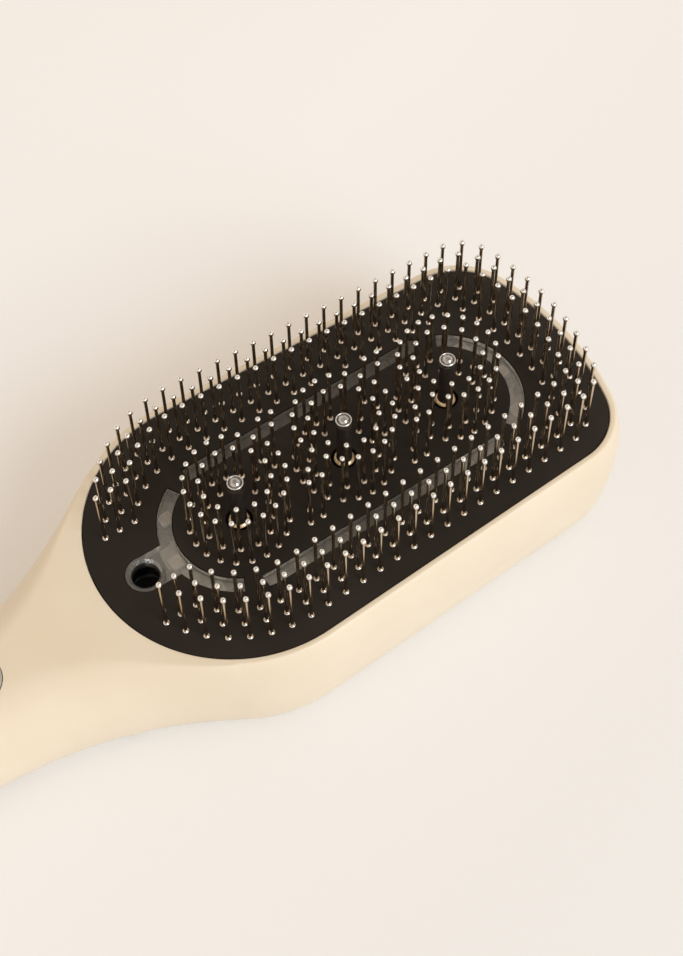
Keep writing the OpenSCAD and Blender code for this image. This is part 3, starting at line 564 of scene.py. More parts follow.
# Pins
# Drawn and plated steel pins, with a polished ball formed on the tip and a small ring of a foot
# on the plate. Each group is set in a metal strip under the plate, which feeds it current.
pin_tip = 16.5
pin_set = 2.6
pin_r = 0.39
ball_r = 0.69
foot_r = 0.79
strip_low = plate_z - 1.2
strip_rim = 0.8
row_inset = 4.8
row_gap = 3.1
row_pitch = 4.45
row_stop = 12.2
ring_radii = (7.45, 10.7)
ring_counts = (12, 20)
bridge_xy = np.array([[0, 6.8], [1.6, 9.5], [-1.6, 9.5]])
side_run = (1.04, 4.02)
far_run = (-0.98, 0.98)
pin_sides = 8
# Radii and heights: shank and foot measured from the plate's face, the ball from its tip
pin_low = [[0, -pin_set], [pin_r, -pin_set], [pin_r, 0], [foot_r, 0]]
pin_foot = [[foot_r, 0.08], [0.6, 0.25], [pin_r, 0.08]]
pin_ball = np.array([[pin_r, -1.16], [0.63, -1.0], [ball_r, -0.64], [0.48, -0.19], [0, 0]])
pin_profile = np.concatenate([pin_low, pin_foot, pin_ball + [0, pin_tip]])
metal_colour = (0.88, 0.82, 0.74, 1)
metal_dull = (0.76, 0.69, 0.61, 1)
# The shank's darker colour is painted shade
shank_painted_shade = (0.58, 0.48, 0.36, 1)
nozzle_names = ("near", "middle", "far")
nozzle_x = [np.mean(np.array(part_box(f"{name}_post"))[:, 0]) / MM for name in nozzle_names]


def circle_of(count, first=0.0):
    """Unit vectors at even angles round a circle, the first turned by a share of a step."""
    return around((np.arange(count) + first) * 2 * np.pi / count)


def revolve(profile, sides, close=False):
    """A profile of radius and height turned about the Z axis: points ring by ring, and their faces."""
    profile = np.asarray(profile, float)
    if close:
        profile = np.concatenate([profile, profile[:1]])
    plan = profile[:, None, :1] * circle_of(sides)
    points = joined(plan, profile[:, None, 1])
    return points.reshape(-1, 3), quads(len(profile), sides, wrap=True)


def repeated(points, faces, places):
    """One copy of a shape at each place."""
    places = np.asarray(places, float)
    every = points[None] + places[:, None]
    shifts = np.arange(len(places))[:, None, None] * len(points)
    return every.reshape(-1, 3), (faces[None] + shifts).reshape(-1, faces.shape[-1])


def row_ends(inset):
    """Lengths of the four stretches of half a row, and the angle at which it stops by the port."""
    last = np.pi - np.arcsin(row_stop / (plate_r - inset))
    lengths = [(bow_r - inset) * bow_a, (corner_r - inset) * (side_a - bow_a), side_l]
    return np.array(lengths + [(plate_r - inset) * (last - side_a)]), last


def row_places(inset, u):
    """Places on half a row: u from 0 to 4 runs over the bow, the corner, the side and the round end.
    Below 0 it runs over the other half's bow."""
    last = row_ends(inset)[1]
    bow = bow_c + (bow_r - inset) * around(u * bow_a)
    corner = corner_c + (corner_r - inset) * around(bow_a + (u - 1) * (side_a - bow_a))
    end = round_c + (plate_r - inset) * around(side_a + (u - 3) * (last - side_a))
    u = u[:, None]
    side = corner_c + (corner_r - inset) * side_n - side_t * side_l * (u - 2)
    return np.select([u < 1, u < 2, u < 3], [bow, corner, side], end)


def row_pins(row):
    """Half of a row's pins at an even pitch, as places and their u."""
    inset = row_inset + row * row_gap
    lengths = row_ends(inset)[0]
    first = 0.5 if row == 0 else 0.0
    count = round(lengths.sum() / row_pitch - first)
    along = lengths.sum() * (np.arange(count + 1) + first) / (count + first)
    u = np.interp(along, np.concatenate([[0], np.cumsum(lengths)]), np.arange(5))
    return row_places(inset, u), u


def strip_along(u):
    """The metal strip below the rows, between two insets and two heights, closed at both ends."""
    edges = (row_inset - strip_rim, row_inset + 2 * row_gap + strip_rim)
    outer, inner = (row_places(edge, u) for edge in edges)
    rings = [(outer, plate_z), (inner, plate_z), (inner, strip_low), (outer, strip_low)]
    points = np.stack([joined(edge, z) for edge, z in rings], axis=1)
    ends = np.array([[3, 2, 1, 0], [0, 1, 2, 3]]) + np.array([[0], [4 * (len(u) - 1)]])
    return points.reshape(-1, 3), np.concatenate([quads(len(u), 4, wrap=True), ends])


def box_shape(low, high):
    """A closed box between two corners."""
    bits = np.array([[i & 1, i >> 1 & 1, i >> 2] for i in range(8)])
    ends = [[0, 2, 3, 1], [4, 5, 7, 6]]
    walls = [[0, 1, 5, 4], [2, 6, 7, 3], [0, 4, 6, 2], [1, 3, 7, 5]]
    return np.where(bits, high, low).astype(float), np.array(ends + walls)


# Plated all over, but only ball and foot are polished: the drawn shank stays satin, and its darker
# colour is painted shade for the dark reflections it shows
plated, plated_shader, plated_place = finish("plated_pin_steel", Metallic=1.0)
pin_height = plated_place.along((0, 0, 1)) - face_z * MM
satin_and_shade = pin_height.between_mm(0.3, 0.4) - pin_height.between_mm(pin_tip - 1.2, pin_tip - 1.0)
dulling = plated_place.noise(400, 3).between(0.35, 0.65)
feed(plated_shader, Base_Color=satin_and_shade.tint(dulling.tint(metal_colour, metal_dull), shank_painted_shade))
feed(plated_shader, Roughness=0.08 + dulling * 0.08 + satin_and_shade * 0.03)

unit_points, unit_faces = revolve(pin_profile, pin_sides)
half_places, half_u = (np.concatenate(parts) for parts in zip(*map(row_pins, range(3))))
mirror_y = np.array([1, -1])
far_half = half_places[half_u < 1]
far_places = np.concatenate([far_half, far_half[far_half[:, 1] > 0.01] * mirror_y])
side_places = half_places[half_u >= 1]
side_strip = strip_along(np.linspace(*side_run, 90))
mirrored_strip = (side_strip[0] * [1, -1, 1], side_strip[1][:, ::-1])


def pin_piece(group, places, *strips):
    """A group of pins and the strips that they're set in."""
    points, faces = combined(repeated(unit_points, unit_faces, joined(places, face_z)), *strips)
    mesh = mesh_of(f"{group}_pins", points, faces.tolist())
    piece(f"{group}_pins", mesh, plated, "brush", f"pins_{group}", sharp=48)


pin_piece("left_rows", side_places, side_strip)
pin_piece("right_rows", side_places * mirror_y, mirrored_strip)
pin_piece("far_end", far_places, strip_along(np.linspace(*far_run, 23)))
rings = [radius * circle_of(count) for radius, count in zip(ring_radii, ring_counts)]
ring_places = np.concatenate(rings)
strip_in, strip_out = ring_radii[0] - strip_rim, ring_radii[1] + strip_rim
ring_strip = [[strip_in, plate_z], [strip_out, plate_z], [strip_out, strip_low], [strip_in, strip_low]]
ring_points, ring_faces = revolve(ring_strip, 64, close=True)
for place, x in zip(nozzle_names, nozzle_x):
    pin_piece(f"{place}_ring", ring_places + [x, 0], (ring_points + [x, 0, 0], ring_faces))
bridge_x = np.convolve(nozzle_x, [0.5, 0.5], "valid")
bridges = [bridge_xy * [1, side] + [x, 0] for x in bridge_x for side in (1, -1)]
bridge_strips = [
    box_shape([*group.min(axis=0) - strip_rim, strip_low], [*group.max(axis=0) + strip_rim, plate_z])
    for group in bridges
]
pin_piece("bridges", np.concatenate(bridges), *bridge_strips)


# Nozzles
# Each nozzle is a black post on the tank's lid, held in the plate by a brass bush. A polished
# ring on its end keeps a steel roller ball in, and a spring-loaded valve shuts it from below.
post_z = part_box("near_post")[0].z / MM
ball_low, ball_high = (np.array(corner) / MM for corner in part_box("near_ball"))
roller_r = (ball_high[0] - ball_low[0]) / 2
ball_z = (ball_low[2] + ball_high[2]) / 2
post_r = 1.7
post_foot_r = 3.2
inlet_r = 0.6
bore_r = 1.0
bush_r = post_r + 0.7
bush_in_r = post_r + 0.02
bush_top = face_z + 0.6
foot_top = post_z + 1.0
seat_z = ball_z - roller_r
seat_low = seat_z - 0.6
seat_r = roller_r + 0.05
ring_r = post_r + 0.1
ring_lip_r = 1.38
ring_low = ball_z - 0.9
ring_top = ball_z + 0.7
valve_r = 0.95
valve_edge = 0.1
valve_top = seat_z - 0.02
wire_r = 0.14
spring_r = valve_r - wire_r - 0.03
spring_top = foot_top + 5.0
spring_turns = 6
black_colour = (0.016, 0.013, 0.011, 1)
black_scuffed = (0.026, 0.021, 0.018, 1)
brass_colour = (0.78, 0.62, 0.42, 1)
brass_dark = (0.60, 0.44, 0.27, 1)
steel_colour = (0.86, 0.84, 0.81, 1)
steel_dull = (0.78, 0.76, 0.73, 1)
roller_colour = (0.56, 0.52, 0.47, 1)
roller_dark = (0.40, 0.36, 0.32, 1)


def rounded(corners, radius, steps=4):
    """A closed profile with its corners rounded. Each becomes the curve (1 - t)^2 a + 2t(1 - t) c
    + t^2 b from a to b, which lie a radius from the corner c, or 0.45 of a shorter side."""
    corners = np.asarray(corners, float)
    before = np.roll(corners, 1, axis=0) - corners
    after = np.roll(corners, -1, axis=0) - corners
    ends = []
    for side in (before, after):
        length = np.linalg.norm(side, axis=1, keepdims=True)
        ends.append(corners + side / length * np.minimum(radius, 0.45 * length))
    t = np.linspace(0, 1, steps)[None, :, None]
    curve = (1 - t) ** 2 * ends[0][:, None] + 2 * t * (1 - t) * corners[:, None]
    return (curve + t**2 * ends[1][:, None]).reshape(-1, 2)


def coil(radius, wire, low, high, turns, sides=10, per_turn=24):
    """A round wire wound about the Z axis: its section's circle goes round at the radius while it
    climbs evenly from low to high. Its ends are flat."""
    angle = np.linspace(0, turns * 2 * np.pi, turns * per_turn + 1)[:, None]
    section = (np.arange(sides) * 2 * np.pi / sides)[None]
    out = radius + wire * np.cos(section)
    height = low + wire + (high - low - 2 * wire) * angle / angle[-1] + wire * np.sin(section)
    points = np.stack([out * np.cos(angle), out * np.sin(angle), height + 0 * angle], axis=-1)
    faces = quads(len(angle), sides, wrap=True).tolist()
    last = (len(angle) - 1) * sides
    return points.reshape(-1, 3), faces + [list(range(sides))[::-1], list(range(last, last + sides))]


black = mottled("black_post_plastic", black_colour, black_scuffed, 700, (0.28, 0.42))
brass = mottled("turned_brass", brass_colour, brass_dark, 900, (0.16, 0.28), Metallic=1.0)
steel = mottled("polished_steel", steel_colour, steel_dull, 800, (0.05, 0.13), Metallic=1.0)
roller_steel = mottled("roller_steel", roller_colour, roller_dark, 1500, (0.04, 0.1), Metallic=1.0)

post_profile = rounded([
    [inlet_r, post_z], [post_foot_r, post_z], [post_foot_r, foot_top], [post_r, foot_top],
    [post_r, ring_low], [seat_r, ring_low], [seat_r, seat_low], [bore_r, seat_low],
    [bore_r, foot_top], [inlet_r, foot_top],
], 0.12, 3)
bush_profile = rounded([
    [bush_in_r, foot_top], [bush_r, foot_top], [bush_r, bush_top - 0.55],
    [post_r + 0.2, bush_top], [bush_in_r, bush_top],
], 0.1, 3)
ring_profile = rounded([
    [seat_r, ring_low], [ring_r, ring_low], [ring_r, ring_top - 0.2], [post_r - 0.02, ring_top],
    [post_r - 0.16, ring_top], [ring_lip_r, ring_top - 0.25], [seat_r, ball_z],
], 0.09, 4)
valve_profile = [
    [0, spring_top], [valve_r - valve_edge, spring_top], [valve_r, spring_top + valve_edge],
    [valve_r, valve_top - valve_edge], [valve_r - valve_edge, valve_top], [0, valve_top],
]
arc = np.linspace(-np.pi / 2, np.pi / 2, 21)
ball_profile = np.stack([roller_r * np.cos(arc), ball_z + roller_r * np.sin(arc)], axis=-1)
for place, x in zip(nozzle_names, nozzle_x):
    shapes = {
        "post": (revolve(post_profile, 48, close=True), black, "brush", "post_black"),
        "bush": (revolve(bush_profile, 48, close=True), brass, "brush", "brass"),
        "nozzle_ring": (revolve(ring_profile, 48, close=True), steel, "brush", "steel"),
        "valve": (revolve(valve_profile, 32), steel, f"{place}_valve", "steel"),
        "ball": (revolve(ball_profile, 40), roller_steel, f"{place}_ball", "steel"),
    }
    for kind, ((points, faces), material, body, slot) in shapes.items():
        mesh = mesh_of(f"{kind}_{place}", points + [x, 0, 0], faces.tolist())
        piece(f"{kind}_{place}", mesh, material, body, f"{place}_{kind}")
    wound, wound_faces = coil(spring_r, wire_r, foot_top, spring_top, spring_turns)
    wound_mesh = mesh_of(f"spring_{place}", wound + [x, 0, 0], wound_faces)
    spring = piece(f"spring_{place}", wound_mesh, steel, "brush", f"{place}_spring", sharp=50)
    anchor = (x * MM, 0, foot_top * MM)
    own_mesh(spring)


# Light guide
# One smoke-clear moulding lies under the plate. Its windows fill the plate's cut-outs, a tab joins
# them to the fill port, and the port's neck goes down from it to the tank's lid.
smoke = (0.94, 0.91, 0.85, 1)
smoke_milky = (0.84, 0.81, 0.75, 1)
# Painted shade for the smoke in the middle and along the far side
smoke_painted_shade = (0.42, 0.395, 0.35, 1)
bore_black_and_wall_shade = (0.006, 0.006, 0.006, 1)
shade_lean = 0.6
smoke_shade_fade_mm = (12, 36)
port_x = plate_low[0] + 10.0
port_r = 3.0
band_r = 15.9
band_w = 3.2
wall_start_x = nozzle_x[0] - band_r - band_w / 2 + 2.2

guide, guide_shader, guide_place = finish("smoke_clear_plastic", Transmission_Weight=0.88, IOR=1.46)
guide_x = guide_place.along((1, 0, 0))
guide_y = guide_place.along((0, 1, 0))


def length_of(first, second):
    """Length of the vector of two wires: the root of the sum of their squares."""
    return (first * first + second * second) ** 0.5


# The port's bore is black, and the windows' side walls are painted black as shade, because no light
# comes through there
from_middle = abs(guide_x - nozzle_x[1] * MM)
past_straight = (from_middle - (nozzle_x[2] - nozzle_x[1]) * MM).at_least(0)
off_band = abs(length_of(past_straight, guide_y) - band_r * MM)
painted_wall_shade = off_band.between_mm(band_w / 2 - 0.06, band_w / 2 - 0.01)
painted_wall_shade = painted_wall_shade * guide_x.between_mm(wall_start_x, wall_start_x + 0.1)
off_port = length_of(guide_x - port_x * MM, guide_y).between_mm(port_r + 0.03, port_r + 0.08)
clear_top = guide_place.along((0, 0, 1)).between_mm(face_z - 2.6, face_z - 0.3)
off_port = off_port.at_least(clear_top * 0.55)
# The smoke's colour is painted lighter in the two arcs and along the near side, which faces the lamp,
# and darker in the middle and along the far side: painted light and shade
streaks = guide_place.noise(420, 3).between(0.35, 0.7).tint(smoke, smoke_milky)
smoke_light_and_shade = (from_middle - guide_y * shade_lean).between_mm(*smoke_shade_fade_mm).tint(smoke_painted_shade, streaks)
feed(guide_shader, Base_Color=(off_port * (1 - painted_wall_shade)).tint(bore_black_and_wall_shade, smoke_light_and_shade))
feed(guide_shader, Roughness=0.03 + guide_place.noise(1500) * 0.08 + (1 - off_port) * 0.12)
feed(guide_shader, Normal=guide_place.noise(1800).bump(0.01, 0.12, 0.12))
dress("light_guide", guide)


# LEDs
# White LED packages stand in a ring on a green board, right under the windows. Each has a frosted
# lens in a square pale case, and a brown ribbon brings them current from the main board.
board_t = 1.2
chip_w = 3.1
chip_h = 0.8
chip_sides = 16
case_round = 0.35
lens_r = 1.15
lens_deep = 0.18
lens_dome = 0.12
pad_shade_fade_mm = (16, 38)
led_angles = np.radians([-40, 0, 40])
pad_teal = (0.050, 0.120, 0.088, 1)
# Painted shade for the pads along the board's far side
pad_painted_shade = (0.30, 0.265, 0.21, 1)
pad_pale = (0.66, 0.60, 0.51, 1)
case_colour = (0.92, 0.86, 0.78, 1)
case_warm = (0.84, 0.75, 0.64, 1)
phosphor = (0.90, 0.72, 0.50, 1)
lens_shade = (0.30, 0.25, 0.20, 1)
lens_stops = (
    (0.0, phosphor), (0.32, phosphor), (0.42, lens_shade), (0.54, case_colour), (0.76, case_colour),
    (0.9, lens_shade), (1.0, case_colour),
)
ribbon_amber = (0.12, 0.055, 0.020, 1)
ribbon_dark = (0.085, 0.038, 0.014, 1)
led_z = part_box("led_board")[0].z / MM


def squared(half, corner, sides):
    """Points round a square of half width whose corners are rounded: the Minkowski sum of a
    smaller square and a circle, at even angles."""
    turn = circle_of(sides, 0.5)
    return (half - corner) * np.sign(turn) + corner * turn


patched, patched_shader, patched_place = finish("patched_laminate", Roughness=0.35)
# The pads are painted pale under the two arcs and towards the near side, and darker along the board's
# far side: painted light and shade
off_middle = abs(patched_place.along((1, 0, 0)) - nozzle_x[1] * MM)
leaning = off_middle - patched_place.along((0, shade_lean, 0))
pads_light_and_shade = leaning.between_mm(*pad_shade_fade_mm).tint(pad_painted_shade, pad_pale)
patches = patched_place.noise(190, 2).between(0.38, 0.5)
feed(patched_shader, Base_Color=patches.tint(pad_teal, pads_light_and_shade))
case_plastic, case_shader, case_place = finish("led_case", Roughness=0.35)
from_lens = case_place.node("ShaderNodeAttribute", {"attribute_name": "from_lens"}, {}, 2)
lens_rings = from_lens.node("ShaderNodeValToRGB", {"stops": lens_stops}, {"Fac": from_lens})
feed(case_shader, Base_Color=case_place.noise(900).between(0.3, 0.7).tint(lens_rings, case_warm))
amber_film = mottled("ribbon_film", ribbon_amber, ribbon_dark, 300, (0.2, 0.3), Coat_Weight=0.4)

chip_low = led_z + board_t
chip_top = chip_low + chip_h
lens_low = chip_top - lens_deep
case_plan = squared(chip_w / 2, case_round, chip_sides)
lens_plan = lens_r * circle_of(chip_sides, 0.5)
chip_rings = [
    (case_plan * 0, chip_low), (case_plan, chip_low), (case_plan, chip_top - 0.1),
    (case_plan * 0.93, chip_top), (lens_plan, chip_top), (lens_plan * 0.9, lens_low),
]
chip_rings += [(lens_plan * s, lens_low + lens_dome * (1 - s)) for s in (0.7, 0.5, 0.42, 0.3, 0)]
chip_points = np.concatenate([joined(plan, height) for plan, height in chip_rings])
chip_faces = quads(len(chip_rings), chip_sides, wrap=True)
straight_x = nozzle_x[1] + (np.arange(5) - 2) * (nozzle_x[2] - nozzle_x[0]) / 5
led_spots = np.concatenate([
    band_r * around(led_angles) + [nozzle_x[2], 0],
    band_r * around(np.pi - led_angles) + [nozzle_x[0], 0],
    [[x, side * band_r] for x in straight_x for side in (-1, 1)],
])
led_points, led_faces = repeated(chip_points, chip_faces, joined(led_spots, 0))
led_mesh = mesh_of("led_packages", led_points, led_faces.tolist())
corners_m = np.empty(3 * len(led_mesh.vertices))
led_mesh.vertices.foreach_get("co", corners_m)
spot_off = corners_m.reshape(-1, 3)[:, None, :2] / MM - led_spots
from_spot = np.hypot(*spot_off.T).T.min(axis=1)
led_mesh.attributes.new("from_lens", "FLOAT", "POINT").data.foreach_set("value", from_spot)
piece("led_packages", led_mesh, case_plastic, "brush", "led_chips", sharp=40)
dress("led_board", patched)
dress("led_ribbon", amber_film)


# Serum tank
# A clear tank is clamped between the back cover's posts and the LED board, with a soft gasket
# under its lid. The lid has a hole below the fill port and one below each nozzle.
tank_clear = (0.90, 0.93, 0.92, 1)
tank_frosted = (0.84, 0.88, 0.87, 1)
seal_grey = (0.62, 0.60, 0.57, 1)
seal_dusty = (0.70, 0.68, 0.65, 1)

tank_plastic = mottled(
    "clear_tank_plastic", tank_clear, tank_frosted, 120, (0.05, 0.15), Transmission_Weight=0.9, IOR=1.49
)
dress("serum_tank", tank_plastic)
dress("tank_lid", tank_plastic)
dress("tank_gasket", mottled("soft_seal", seal_grey, seal_dusty, 300, (0.6, 0.8), (3000, 0.02, 0.4)))


# Power button
# A chromed ring is pressed into a round seat on the handle's crown, square to its slope. The cream
# cap slides in it, and its stem stands on the plunger of a switch on the main board.
seat_deep = 1.0
sleeve_r = 4.55
sleeve_deep = 2.2
bezel_r = 5.0
bezel_top = 0.5
cap_r = 3.8
cap_in_r = 3.85
cap_top = 0.3
cap_edge = 0.4
dish_deep = 0.22
dish_share = 0.88
flange_r = 4.4
flange_low = -4.0
flange_top = -3.3
stem_r = 1.0
stem_low = -4.6
fit = 0.15
chrome_colour = (0.80, 0.79, 0.78, 1)
chrome_dull = (0.70, 0.69, 0.68, 1)
switch_black = (0.020, 0.020, 0.021, 1)
switch_grey = (0.032, 0.032, 0.033, 1)
can_colour = (0.62, 0.62, 0.61, 1)
can_dull = (0.50, 0.50, 0.49, 1)
button_x = body_low[0] + 93.0
joints = frame["record"]["behaviour"]["joints"]
press = next(joint["axis"] for joint in joints if joint["name"] == "power_button_press")
crown_up = -np.array(Vector(press).normalized())
crown_x = np.array([crown_up[2], 0, -crown_up[0]])
button_mid = np.array([button_x, 0, crest_z(np.array([button_x]))[0]])


def on_crown(points):
    """Points in the button's own frame as points on the crown."""
    points = np.asarray(points, float)
    return button_mid + points[:, :1] * crown_x + points[:, 1:2] * [0, 1, 0] + points[:, 2:] * crown_up


bezel_profile = rounded([
    [cap_in_r, -seat_deep - sleeve_deep], [sleeve_r, -seat_deep - sleeve_deep], [sleeve_r, -seat_deep],
    [bezel_r, -seat_deep], [bezel_r, bezel_top], [cap_in_r, bezel_top],
], 0.28, 6)
arch = np.linspace(0, np.pi / 2, 8)
dish = np.linspace(0.86, 0, 8)
cap_profile = np.concatenate([
    [[0, stem_low - 1.0], [0.7, stem_low - 0.7], [stem_r, stem_low], [stem_r, flange_low],
     [flange_r, flange_low], [flange_r, flange_top], [cap_r, flange_top], [cap_r, cap_top - cap_edge]],
    np.stack([cap_r - cap_edge * (1 - np.cos(arch)), cap_top - cap_edge * (1 - np.sin(arch))], axis=-1),
    np.stack([cap_r * dish, cap_top - dish_deep * (1 - (dish / dish_share) ** 2)], axis=-1),
])
chrome = mottled("chromed_ring", chrome_colour, chrome_dull, 500, (0.06, 0.16), Metallic=1.0)
switch_plastic = mottled("switch_plastic", switch_black, switch_grey, 600, (0.4, 0.55))
drawn_steel = mottled("drawn_steel", can_colour, can_dull, 350, (0.26, 0.42), Metallic=1.0)
bezel_points, bezel_faces = revolve(bezel_profile, 96, close=True)
bezel_mesh = mesh_of("button_ring", on_crown(bezel_points), bezel_faces.tolist())
piece("button_ring", bezel_mesh, chrome, "brush", "button_bezel")
button_points, button_faces = revolve(cap_profile, 96)
button_mesh = mesh_of("button_cap", on_crown(button_points), button_faces.tolist())
piece("button_cap", button_mesh, cream, "button", "power_button")
dress("switch_plunger", switch_plastic)
dress("tact_switch", drawn_steel)

# The front housing's seat for the ring, the hole below it and the charging socket's mouth
socket_z = np.mean([c.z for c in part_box("charge_socket")]) / MM
socket_r = 1.6 + fit
socket_half = 2.9
socket_deep = 11
hole_deep = 5.0
clear_l = 6.0


def cut(target, tool_mesh, operation="DIFFERENCE"):
    """Cuts a closed mesh out of a piece, or adds it, and applies the result."""
    tool = bpy.data.objects.new("tool", tool_mesh)
    scene.collection.objects.link(tool)
    modifier = target.modifiers.new("cut", "BOOLEAN")
    modifier.operation = operation
    modifier.solver = "MANIFOLD"
    modifier.object = tool
    tool_mesh.materials.append(target.data.materials[0])
    evaluated = target.evaluated_get(bpy.context.evaluated_depsgraph_get())
    mesh = bpy.data.meshes.new_from_object(evaluated)
    target.modifiers.remove(modifier)
    mesh.name = target.name
    target.data = mesh
    bpy.data.objects.remove(tool)


def cylinder(centre, axis, radius, length, sides=64):
    """A closed cylinder from centre along axis, in millimetres."""
    axis = np.asarray(axis, float) / np.linalg.norm(axis)
    across = np.cross(axis, [0, 1, 0] if abs(axis[1]) < 0.9 else [1, 0, 0])
    across /= np.linalg.norm(across)
    turn = circle_of(sides)
    ring = turn[:, :1] * across + turn[:, 1:] * np.cross(axis, across)
    low = np.asarray(centre) + radius * ring
    points = np.concatenate([low, low + axis * length])
    side = quads(2, sides, wrap=True).tolist()
    caps = [list(range(sides))[::-1], list(range(sides, 2 * sides))]
    return mesh_of("cylinder", points, side + caps)


def slab(plan, x_low, x_high):
    """A closed bar along X whose section is a plan of Y and Z."""
    n = len(plan)
    ends = [np.insert(plan, 0, x, axis=1) for x in (x_low, x_high)]
    caps = [list(range(n))[::-1], list(range(n, 2 * n))]
    return mesh_of("slab", np.concatenate(ends), quads(2, n, wrap=True).tolist() + caps)


seat_low_mid = button_mid - crown_up * seat_deep
hole_low_mid = button_mid - crown_up * hole_deep
cut(front_housing, cylinder(seat_low_mid, crown_up, bezel_r + fit, clear_l, 96))
cut(front_housing, cylinder(hole_low_mid, crown_up, sleeve_r + fit, hole_deep + 0.2, 96))
round_end = circle_of(48, 0.5)
mouth = socket_r * round_end + socket_half * np.sign(round_end) * [1, 0] + [0, socket_z]
cut(front_housing, slab(mouth, body_low[0] - 1, body_low[0] + socket_deep))


# Main board
# The green main board hangs from two bosses under the handle's roof, with its parts on top, the
# cell below it and a charging socket in the tail.
board_green = (0.030, 0.095, 0.060, 1)
board_dark = (0.022, 0.070, 0.046, 1)
part_black = (0.018, 0.019, 0.020, 1)
part_grey = (0.030, 0.031, 0.032, 1)
zinc_colour = (0.56, 0.56, 0.55, 1)
zinc_dark = (0.44, 0.44, 0.43, 1)
sleeve_blue = (0.045, 0.115, 0.235, 1)
sleeve_dark = (0.034, 0.090, 0.190, 1)

solder_mask = mottled("green_laminate", board_green, board_dark, 500, (0.24, 0.38))
chip_moulding = mottled("chip_package", part_black, part_grey, 900, (0.45, 0.6), (5000, 0.01, 0.4))
zinc = mottled("zinc_plate", zinc_colour, zinc_dark, 700, (0.26, 0.4), Metallic=1.0)
sleeve = mottled("shrink_sleeve", sleeve_blue, sleeve_dark, 90, (0.2, 0.34), (420, 0.08, 0.3))
dress("main_board", solder_mask)
dress("board_parts", chip_moulding)
dress("board_screws", zinc)
dress("charge_socket", drawn_steel)
dress("battery_cell", sleeve)


# Vibration motor
# A small can lies in two cradles on the back cover. Its shaft turns an off-centre weight of
# sintered metal.
weight_colour = (0.26, 0.245, 0.23, 1)
weight_dark = (0.19, 0.18, 0.17, 1)

weight_metal = mottled(
    "sintered_weight", weight_colour, weight_dark, 1400, (0.45, 0.62), (6000, 0.02, 0.5), Metallic=1.0
)
dress("motor_can", drawn_steel)
dress("motor_rotor", weight_metal)


# Rear housing
# The back cover is a shallow cream tray that closes the shell along the parting line. A rim on it
# seats inside the shell, and it carries the tank's posts and the cradles of cell and motor.
floor_t = 2.0
seat_gap = 0.15
rim_t = 1.2
rim_in = wall + seat_gap
rim_top = 5.0
base_far_x = 85.0
near_screw = (-4.5, 13.0)
far_screw = (corner_c[0] - 2, corner_c[1] + corner_r - 4.6)
screw_spots = [(x, side * y) for side in (1, -1) for x, y in (near_screw, far_screw)]
head_hole_r = 2.55
head_hole_z = 1.2
shank_hole_r = 1.25
screw_core_r = 1.1
boss_r = 2.8
boss_gap = 0.3
pad_r = 4.0
rib_t = 1.6
rib_l = 6.0
rib_z = 13.0
tank_post_r = 2.0
tank_post_x = (nozzle_x[0] - 8, nozzle_x[2])
tank_post_y = (-8, 8)
tank_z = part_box("serum_tank")[0].z / MM
motor_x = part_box("motor_can")[0].x / MM
cell_low, cell_high = (corner.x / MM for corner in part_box("battery_cell"))
# What lies in a cradle: its radius, its height and the cradle's half width
motor_seat = (3.05, 6.2, 4.5)
cell_seat = (7.05, 10.0, 6.5)
cradles = (
    (motor_x + 1, *motor_seat), (motor_x + 8.4, *motor_seat),
    (cell_low + 6, *cell_seat), (cell_high - 8, *cell_seat),
)
board_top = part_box("main_board")[1].z / MM
board_boss_r = 2.0
board_core_r = 0.7
board_boss_x = (tail_c[0] + 2, button_x + 10)

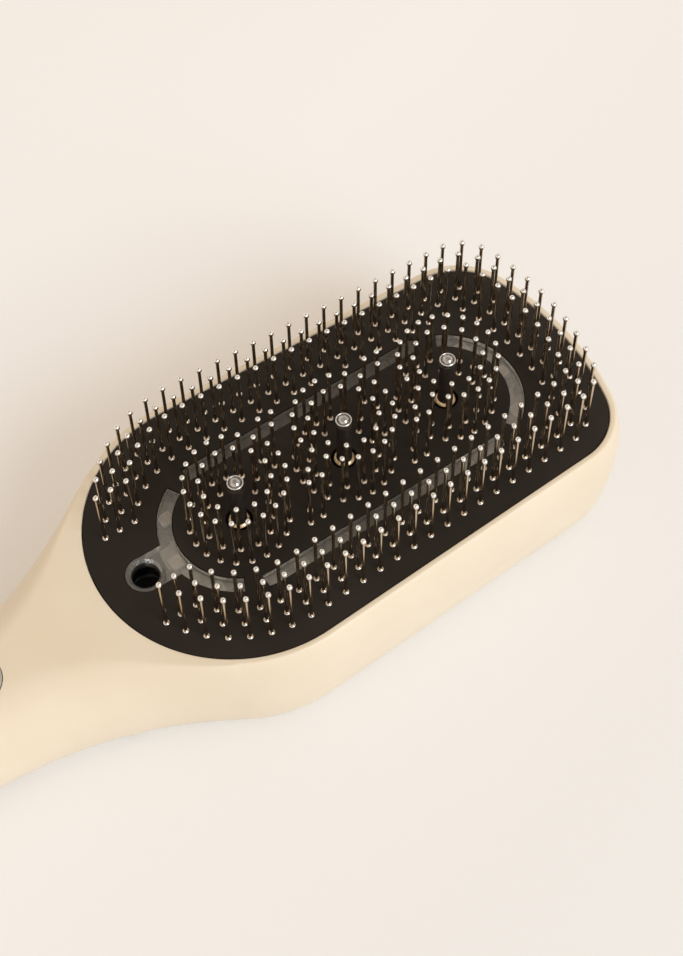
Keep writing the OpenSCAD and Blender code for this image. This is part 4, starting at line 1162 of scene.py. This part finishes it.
edge_low = seam_angle(split_z - parting_chamfer)[:, None]
base_side = under_points(edge_low + (np.pi / 2 - edge_low) * np.linspace(1, 0, 9)[None], 0)
base_x = np.minimum(crest_end[:, 0], base_far_x)
base_spine = joined(np.stack([base_x, 0 * base_x], axis=-1), 0.0)[:, None]
rim_steps = (
    (split_z, parting_chamfer), (split_z, rim_in), (rim_top, rim_in + 0.1),
    (rim_top, rim_in + rim_t), (floor_t, rim_in + rim_t),
)
rim = [under_points(seam_angle(z)[:, None], inset) for z, inset in rim_steps]
floor_spine = base_spine + [0, 0, floor_t]
rear_chain = np.concatenate([base_spine, base_side, *rim, floor_spine], axis=1)
half_tray = both_halves(rear_chain, quads(len(rear_chain), rear_chain.shape[1]))
rear_mesh = mesh_of("rear_shell", *half_tray)
rear_housing = piece("rear_shell", rear_mesh, cream, "brush", "rear_housing")


def upright(x, y, low, high, radius, sides=64):
    """A closed cylinder that stands between two heights."""
    return cylinder([x, y, low], [0, 0, 1], radius, high - low, sides)


for x, y in screw_spots:
    cut(rear_housing, upright(x, y, floor_t - 0.4, split_z, pad_r), "UNION")
    cut(rear_housing, upright(x, y, split_z, split_z + 4, boss_r + boss_gap))
    cut(rear_housing, upright(x, y, -1, head_hole_z, head_hole_r))
    cut(rear_housing, upright(x, y, -1, split_z + 2, shank_hole_r))
for x in tank_post_x:
    for y in tank_post_y:
        cut(rear_housing, upright(x, y, floor_t - 0.5, tank_z, tank_post_r, 32), "UNION")
for x, radius, z, half in cradles:
    brim_z = z - 0.4 * radius
    hollow = radius * around(np.linspace(-np.pi, 0, 25)) + [0, z]
    hollow = hollow[hollow[:, 1] < brim_z - 0.1]
    block = [[half, brim_z], [half, floor_t - 0.5], [-half, floor_t - 0.5], [-half, brim_z]]
    cut(rear_housing, slab(np.concatenate([hollow, block]), x, x + rib_t), "UNION")

# The front housing's bosses for those screws, with a rib at the far ones, and for the main board's
for x, y in screw_spots:
    top = min(roof_z, crest_z(np.array([x]))[0] - 1.5 * wall)
    cut(front_housing, upright(x, y, split_z, top, boss_r, 48), "UNION")
    if x > 0:
        rib_y = sorted((y, y + np.sign(y) * rib_l))
        rib = box_shape([x - rib_t / 2, rib_y[0], rib_z], [x + rib_t / 2, rib_y[1], roof_z + 0.3])
        cut(front_housing, mesh_of("rib", rib[0], rib[1].tolist()), "UNION")
    cut(front_housing, upright(x, y, split_z - 1, split_z + 8, screw_core_r, 32))
for x in board_boss_x:
    top = crest_z(np.array([x]))[0] - wall / 2
    cut(front_housing, upright(x, 0, board_top, top, board_boss_r, 32), "UNION")
    cut(front_housing, upright(x, 0, board_top - 1, board_top + 4, board_core_r, 24))
dress("housing_screws", zinc)
